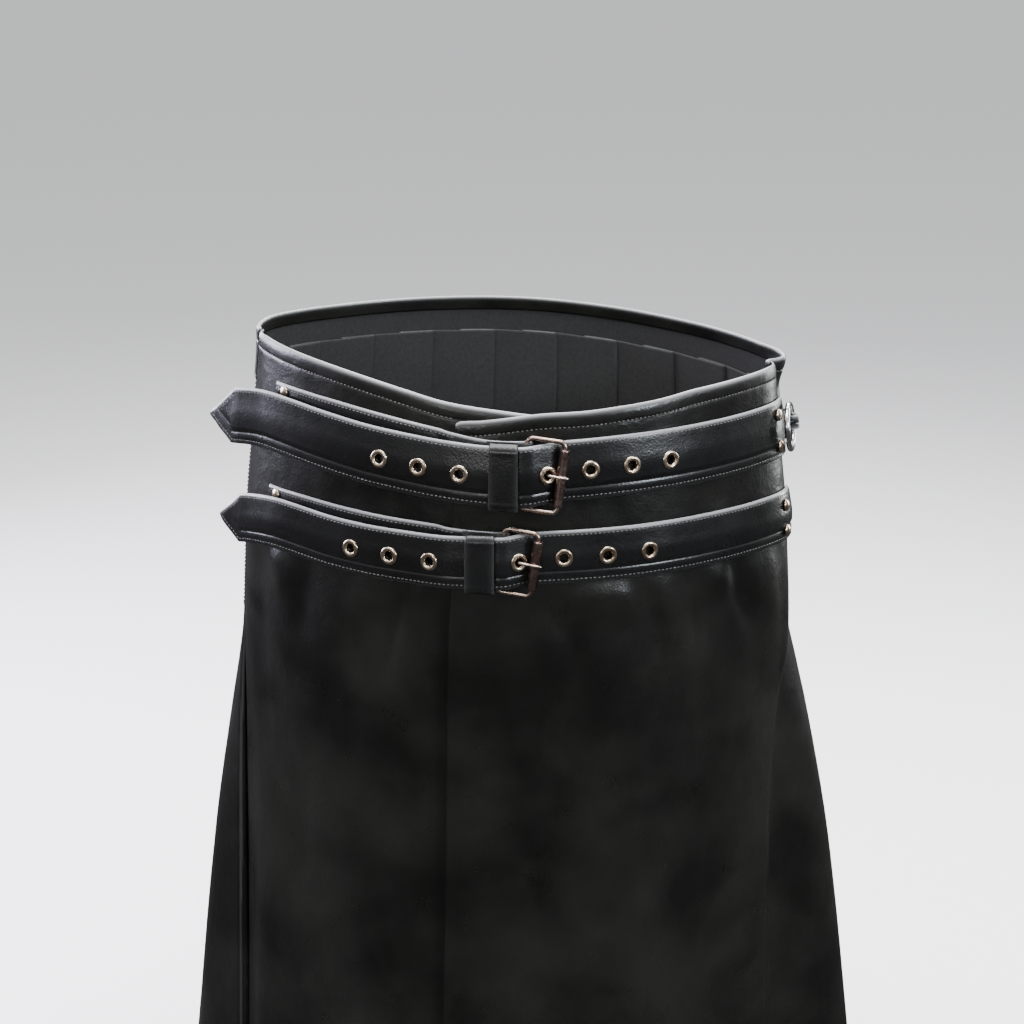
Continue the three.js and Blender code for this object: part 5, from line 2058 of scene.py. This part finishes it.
    def rivet_frames(self) -> list[Frame]:
        """Returns the frames of the rivets at both ends."""
        sizes, frames = self.sizes, []
        for turn, down in sizes.left_rivets:
            height = float(sizes.base.curve(turn, "top")) - down
            frames.append(self.form.frame(turn, height, BUCKLE_STRAP_REST + BUCKLE_STRAP_THICK + SEAM))
        for turn, down in sizes.right_rivets:
            thick = STRAP_THICK if down > STRAP_MARGIN else STRAP_THIN
            lift = float(sizes.lift(turn)) + thick + SEAM
            frames.append(self.form.frame(turn, float(sizes.top(turn)) - down, lift))
        return frames

    def build_rivets(self) -> bpy.types.Object:
        """Builds the rivets' domed heads."""
        name = self.sizes.name
        piece = self.scatter.put(name + "_rivets", rivet_part(), self.rivet_frames(), self.finishes.brass)
        nodes = [f"{name}_{side}_rivet_{k}" for side in ("left", "right") for k in (1, 2)]
        return finish_piece(piece, Slot.BRASS, *nodes)

    def build(self) -> None:
        """Builds the whole set."""
        self.build_buckle_strap()
        self.build_tip_strap()
        self.build_keeper()
        self.build_wire_frame()
        self.build_roller()
        self.build_prong()
        self.build_eyelets()
        self.build_rivets()
        marks = np.concatenate([self.tip_stitches(), self.buckle_stitches()])
        piece = self.scatter.put(
            self.sizes.name + "_strap_stitches", stitch_part(), marks, self.finishes.thread, 1.0,
            STITCH_UNEVEN,
        )
        finish_piece(piece, Slot.STRAP)


def rivet_part() -> tuple[Array, list]:
    """Returns a rivet's domed head with a rolled rim."""
    profile = [(0, -0.25), (3.9, -0.25), (4.15, 0.0), (4.2, 0.3), (4.08, 0.62), (3.7, 0.95), (3.1, 1.3),
               (2.3, 1.6), (1.4, 1.8), (0.6, 1.88), (0, 1.9)]
    return lathe(profile, 28)


@dataclass
class SideRing:
    """The ring on the +X side and the tab that holds it."""

    form: BodyForm
    finishes: Finishes
    scatter: Scatter
    turn: float = 0.965
    height: float = -48.5
    lift: float = 7.2
    radius: float = 15.6
    wire: float = 1.9
    tab_end: float = 1.178
    tab_thick: float = 1.6
    tab_half: float = 5.0

    def build_ring(self) -> None:
        """Builds the ring."""
        angle = np.arange(72) * 2 * math.pi / 72
        line = np.stack([self.radius * np.cos(angle), self.radius * np.sin(angle), 0 * angle], -1)
        points, faces = tube(line, self.wire, 20, Vector((0, 0, 1)), closed=True)
        place = self.form.frame(self.turn, self.height, self.lift)
        piece = make_piece(
            "side_ring_metal", placed(points, place), faces, [self.finishes.silver], solid=True)
        finish_piece(piece, Slot.SILVER, "side_ring")

    def build_tab(self) -> None:
        """Builds the tab: a strip folded round the ring, with both ends under one rivet."""
        side = float(self.form.rows.line(self.height, "side"))
        length = float(self.form.turn_length(self.turn, self.height))
        arm_turn = self.turn + side * math.atan2(self.radius, side + self.lift) / length
        arm_lift = math.hypot(side + self.lift, self.radius) - side
        end, loop = self.tab_end - arm_turn, self.wire + 0.9 + self.tab_thick / 2
        stations = [(arm_turn + end, 3.3), (arm_turn + end * 0.66, 4.8), (arm_turn + end * 0.33, 9.0)]
        stations += round_bar(arm_turn, arm_lift, loop, length, 90)
        stations += [(arm_turn + end * 0.33, 4.0), (arm_turn + end * 0.66, 1.8), (arm_turn + end, 1.3)]
        corners = np.array([(turn * length, lift) for turn, lift in stations])
        line = smooth_line(corners, 8)
        turn = line[:, 0] / length
        sweep = Sweep(self.form, turn, line[:, 1], 0 * turn + self.height + self.tab_half,
                      0 * turn + self.height - self.tab_half, 0 * turn, self.height)
        share = edge_shares(2 * self.tab_half, 10)
        height = mix(sweep.top[:, None], sweep.bottom[:, None], share[None])
        edge = np.minimum(sweep.top[:, None] - height, height - sweep.bottom[:, None])
        near = np.minimum(edge, np.minimum(sweep.along, sweep.along[-1] - sweep.along)[:, None])
        half = self.tab_thick / 2
        outward, inward = rounded(0 * edge + half, 0 * edge - half, near)
        # the light edge colour along every edge: painted highlight with some wear
        piece = make_shell("ring_tab_leather", sweep.at(height, outward), sweep.at(height, inward),
                           [self.finishes.strap], None, np.exp(-near / 1.1))
        finish_piece(piece, Slot.STRAP, "ring_tab")

    def build(self) -> None:
        """Builds the ring, the tab and its rivet."""
        self.build_ring()
        self.build_tab()
        rivet = self.form.frame(self.tab_end - 0.022, self.height, 5.0)
        piece = self.scatter.put("ring_rivet", rivet_part(), [rivet], self.finishes.brass)
        finish_piece(piece, Slot.BRASS, "ring_tab_rivet")


# The kilt.


FORM = BodyForm(
    Table(
        "height front_wide back_wide front_deep back_deep side",
        (-575, 204, 268, 139, 190, 90), (-380, 197, 240, 133, 163, 78), (-277, 195, 220, 130, 146, 69),
        (-230, 195.5, 209, 129, 137, 64), (-190, 196, 199, 128, 130, 60), (-150, 194.5, 195, 127, 126, 57),
        (-100, 191, 191, 125, 122, 54), (-50, 185, 185, 121, 118, 50), (0, 180, 180, 115, 114, 46),
        (30, 178, 178, 112, 111, 43),
    ),
    (
        Drape(-0.80, 5, 0.10), Drape(-0.52, -5, 0.13), Drape(-0.27, 4.5, 0.09),
        Drape(0.10, -4, 0.12), Drape(0.36, 5.5, 0.11), Drape(0.63, -5.5, 0.12),
    ),
)

UPPER = StrapSizes(
    "upper", 39.5, 0.055, 0.158, 0.006, -0.341, 0.1155,
    Table(
        "turn top lift",
        (-0.985, -26.5, 29), (-0.955, -25.5, 23.5), (-0.90, -22, 16), (-0.80, -18.7, 9),
        (-0.685, -19, 6.2), (-0.523, -22.5, 4.2), (-0.387, -26, 3.6), (-0.266, -28.6, 3.6),
        (-0.154, -30.6, 5.7), (-0.06, -31.8, 7.9), (0.01, -32, 9.6), (0.05, -31.8, 11.5),
        (0.076, -31.4, 10.9), (0.097, -31.1, 8.6), (0.121, -30.8, 6.4), (0.145, -30.4, 4.2),
        (0.17, -30.1, 3.1), (0.22, -29.6, 2.9), (0.33, -28.6, 2.9), (0.58, -28, 0.8),
        (0.80, -27.8, 0.4), (0.97, -27.5, 0.4),
    ),
    Table(
        "turn top lean",
        (-0.772, -12.8, 0), (-0.55, -14.4, 0), (-0.41, -17.2, 0), (-0.28, -21, 0),
        (-0.16, -25.3, 0.03), (-0.05, -29.8, 0.10), (0.055, -30.2, 0.14),
    ),
    ((-0.722, 5.2), (-0.722, 33)),
    ((0.905, 9), (0.905, 31)),
)

LOWER = StrapSizes(
    "lower", 35.5, -0.004, 0.088, -0.052, -0.416, 0.1155,
    Table(
        "turn top lift",
        (-0.935, -98, 17), (-0.87, -96, 12), (-0.80, -92.5, 8.5), (-0.70, -89.6, 6.2),
        (-0.60, -90, 4.6), (-0.50, -91.6, 3.8), (-0.37, -92.8, 3.6), (-0.256, -93.2, 4.0),
        (-0.155, -92.8, 7.4), (-0.10, -92.3, 8.2), (-0.05, -91.6, 9.9), (-0.008, -91, 11.8),
        (0.012, -90.8, 11.2), (0.028, -90.5, 9.0), (0.046, -90.1, 6.8), (0.07, -89.9, 4.3),
        (0.095, -89.7, 3.1), (0.15, -89.3, 2.9), (0.33, -88.8, 2.9), (0.58, -89.2, 0.8),
        (0.80, -90.2, 0.4), (0.97, -91, 0.4),
    ),
    Table(
        "turn top lean",
        (-0.767, -84.8, 0), (-0.6, -84, 0), (-0.457, -84.9, 0), (-0.33, -86.2, 0),
        (-0.21, -87.4, 0.03), (-0.1, -89.6, 0.10), (-0.004, -90.2, 0.14),
    ),
    ((-0.722, 5.2), (-0.722, 30)),
    ((0.905, 10), (0.905, 28)),
)

UNDER_CREASES = (
    Crease(-0.705, -143, 20, 11, 3.0, 12), Crease(-0.60, -150, 34, 9, -2.2, -6),
    Crease(-0.50, -166, 44, 12, 1.7, -16), Crease(-0.40, -148, 30, 9, 2.4, -22),
    Crease(-0.315, -172, 44, 8, -3.0, -12), Crease(-0.245, -158, 40, 9, 2.9, -10),
    Crease(-0.185, -150, 26, 7, -1.8, 4), Crease(-0.62, -260, 80, 24, 1.8, 10),
    Crease(-0.36, -226, 50, 14, 2.0, -14), Crease(-0.80, -200, 70, 12, -1.9, 3),
    Crease(-0.47, -76, 13, 10, -1.1, 20), Crease(-0.30, -72, 12, 7, -1.2, -10),
    Crease(-0.62, -330, 70, 12, -1.8, -6), Crease(-0.30, -420, 90, 16, -2.0, 5),
)
OUTER_CREASES = (
    Crease(0.03, -148, 24, 11, -1.8, -20), Crease(0.175, -162, 32, 9, -2.6, 24, 5),
    Crease(0.245, -137, 14, 12, 2.6, 16), Crease(0.115, -192, 40, 18, -1.7, 40),
    Crease(0.335, -137, 17, 13, 3.0, 18), Crease(0.405, -150, 32, 7, -3.0, 22, 6),
    Crease(0.475, -168, 48, 12, 2.4, 12), Crease(0.555, -150, 36, 8, -2.2, 8),
    Crease(0.635, -137, 15, 11, 3.2, 16), Crease(0.70, -150, 26, 7, -2.4, 18),
    Crease(0.765, -146, 20, 8, 1.8, 8), Crease(0.83, -158, 34, 10, 2.4, 6),
    Crease(0.27, -210, 60, 24, 1.8, 30), Crease(0.60, -236, 80, 22, -1.9, 8),
    Crease(0.72, -290, 80, 18, 1.8, -6), Crease(0.20, -330, 90, 18, -2.0, 8),
    Crease(0.45, -400, 90, 16, -1.9, -6), Crease(0.30, -80, 13, 9, -1.0, 20),
    Crease(0.62, -80, 12, 8, -1.1, 14), Crease(0.925, -195, 62, 5, 1.8, -2),
)
BACK_CREASES = (
    Crease(1.15, -150, 60, 22, -1.0, 8), Crease(1.62, -110, 50, 26, -0.9, -6),
    Crease(2.08, -150, 60, 20, -1.0, 5), Crease(2.55, -120, 56, 24, -0.9, -8),
    Crease(1.35, -320, 90, 24, -1.3, 6), Crease(1.85, -360, 100, 26, 1.2, -5),
    Crease(2.35, -330, 90, 24, -1.3, 7), Crease(2.75, -380, 90, 22, 1.2, -6),
)


def main() -> None:
    """Builds the kilt piece by piece."""
    logging.basicConfig(level=logging.INFO, format="%(name)s %(message)s", force=True)
    PhotoCamera().build()
    Studio().build()
    finishes = Finishes.build()
    scatter = Scatter()
    under = Apron(FORM, finishes, "under_apron", UNDER_TOP, Edge.LEFT, False, UNDER_CREASES)
    outer = Apron(FORM, finishes, "outer_apron", OUTER_TOP, Edge.RIGHT, True, OUTER_CREASES)
    back = PleatedBack(FORM, finishes, BACK_CREASES)
    band = BackWaistband(FORM, finishes)
    under_piece, outer_piece = under.build(), outer.build()
    back_piece, band_piece = back.build(), band.build()
    for name, slot, marks in (
        ("apron_stitches", Slot.APRON, np.concatenate([under.stitches(), outer.stitches()])),
        ("back_stitches", Slot.BACK, np.concatenate([back.stitches(), band.stitches()])),
    ):
        piece = scatter.put(name, stitch_part(), marks, finishes.thread, 1.0, STITCH_UNEVEN)
        finish_piece(piece, slot)
    for sizes in (UPPER, LOWER):
        StrapSet(FORM, finishes, scatter, sizes).build()
    SideRing(FORM, finishes, scatter).build()


if __name__ == "__main__":
    main()
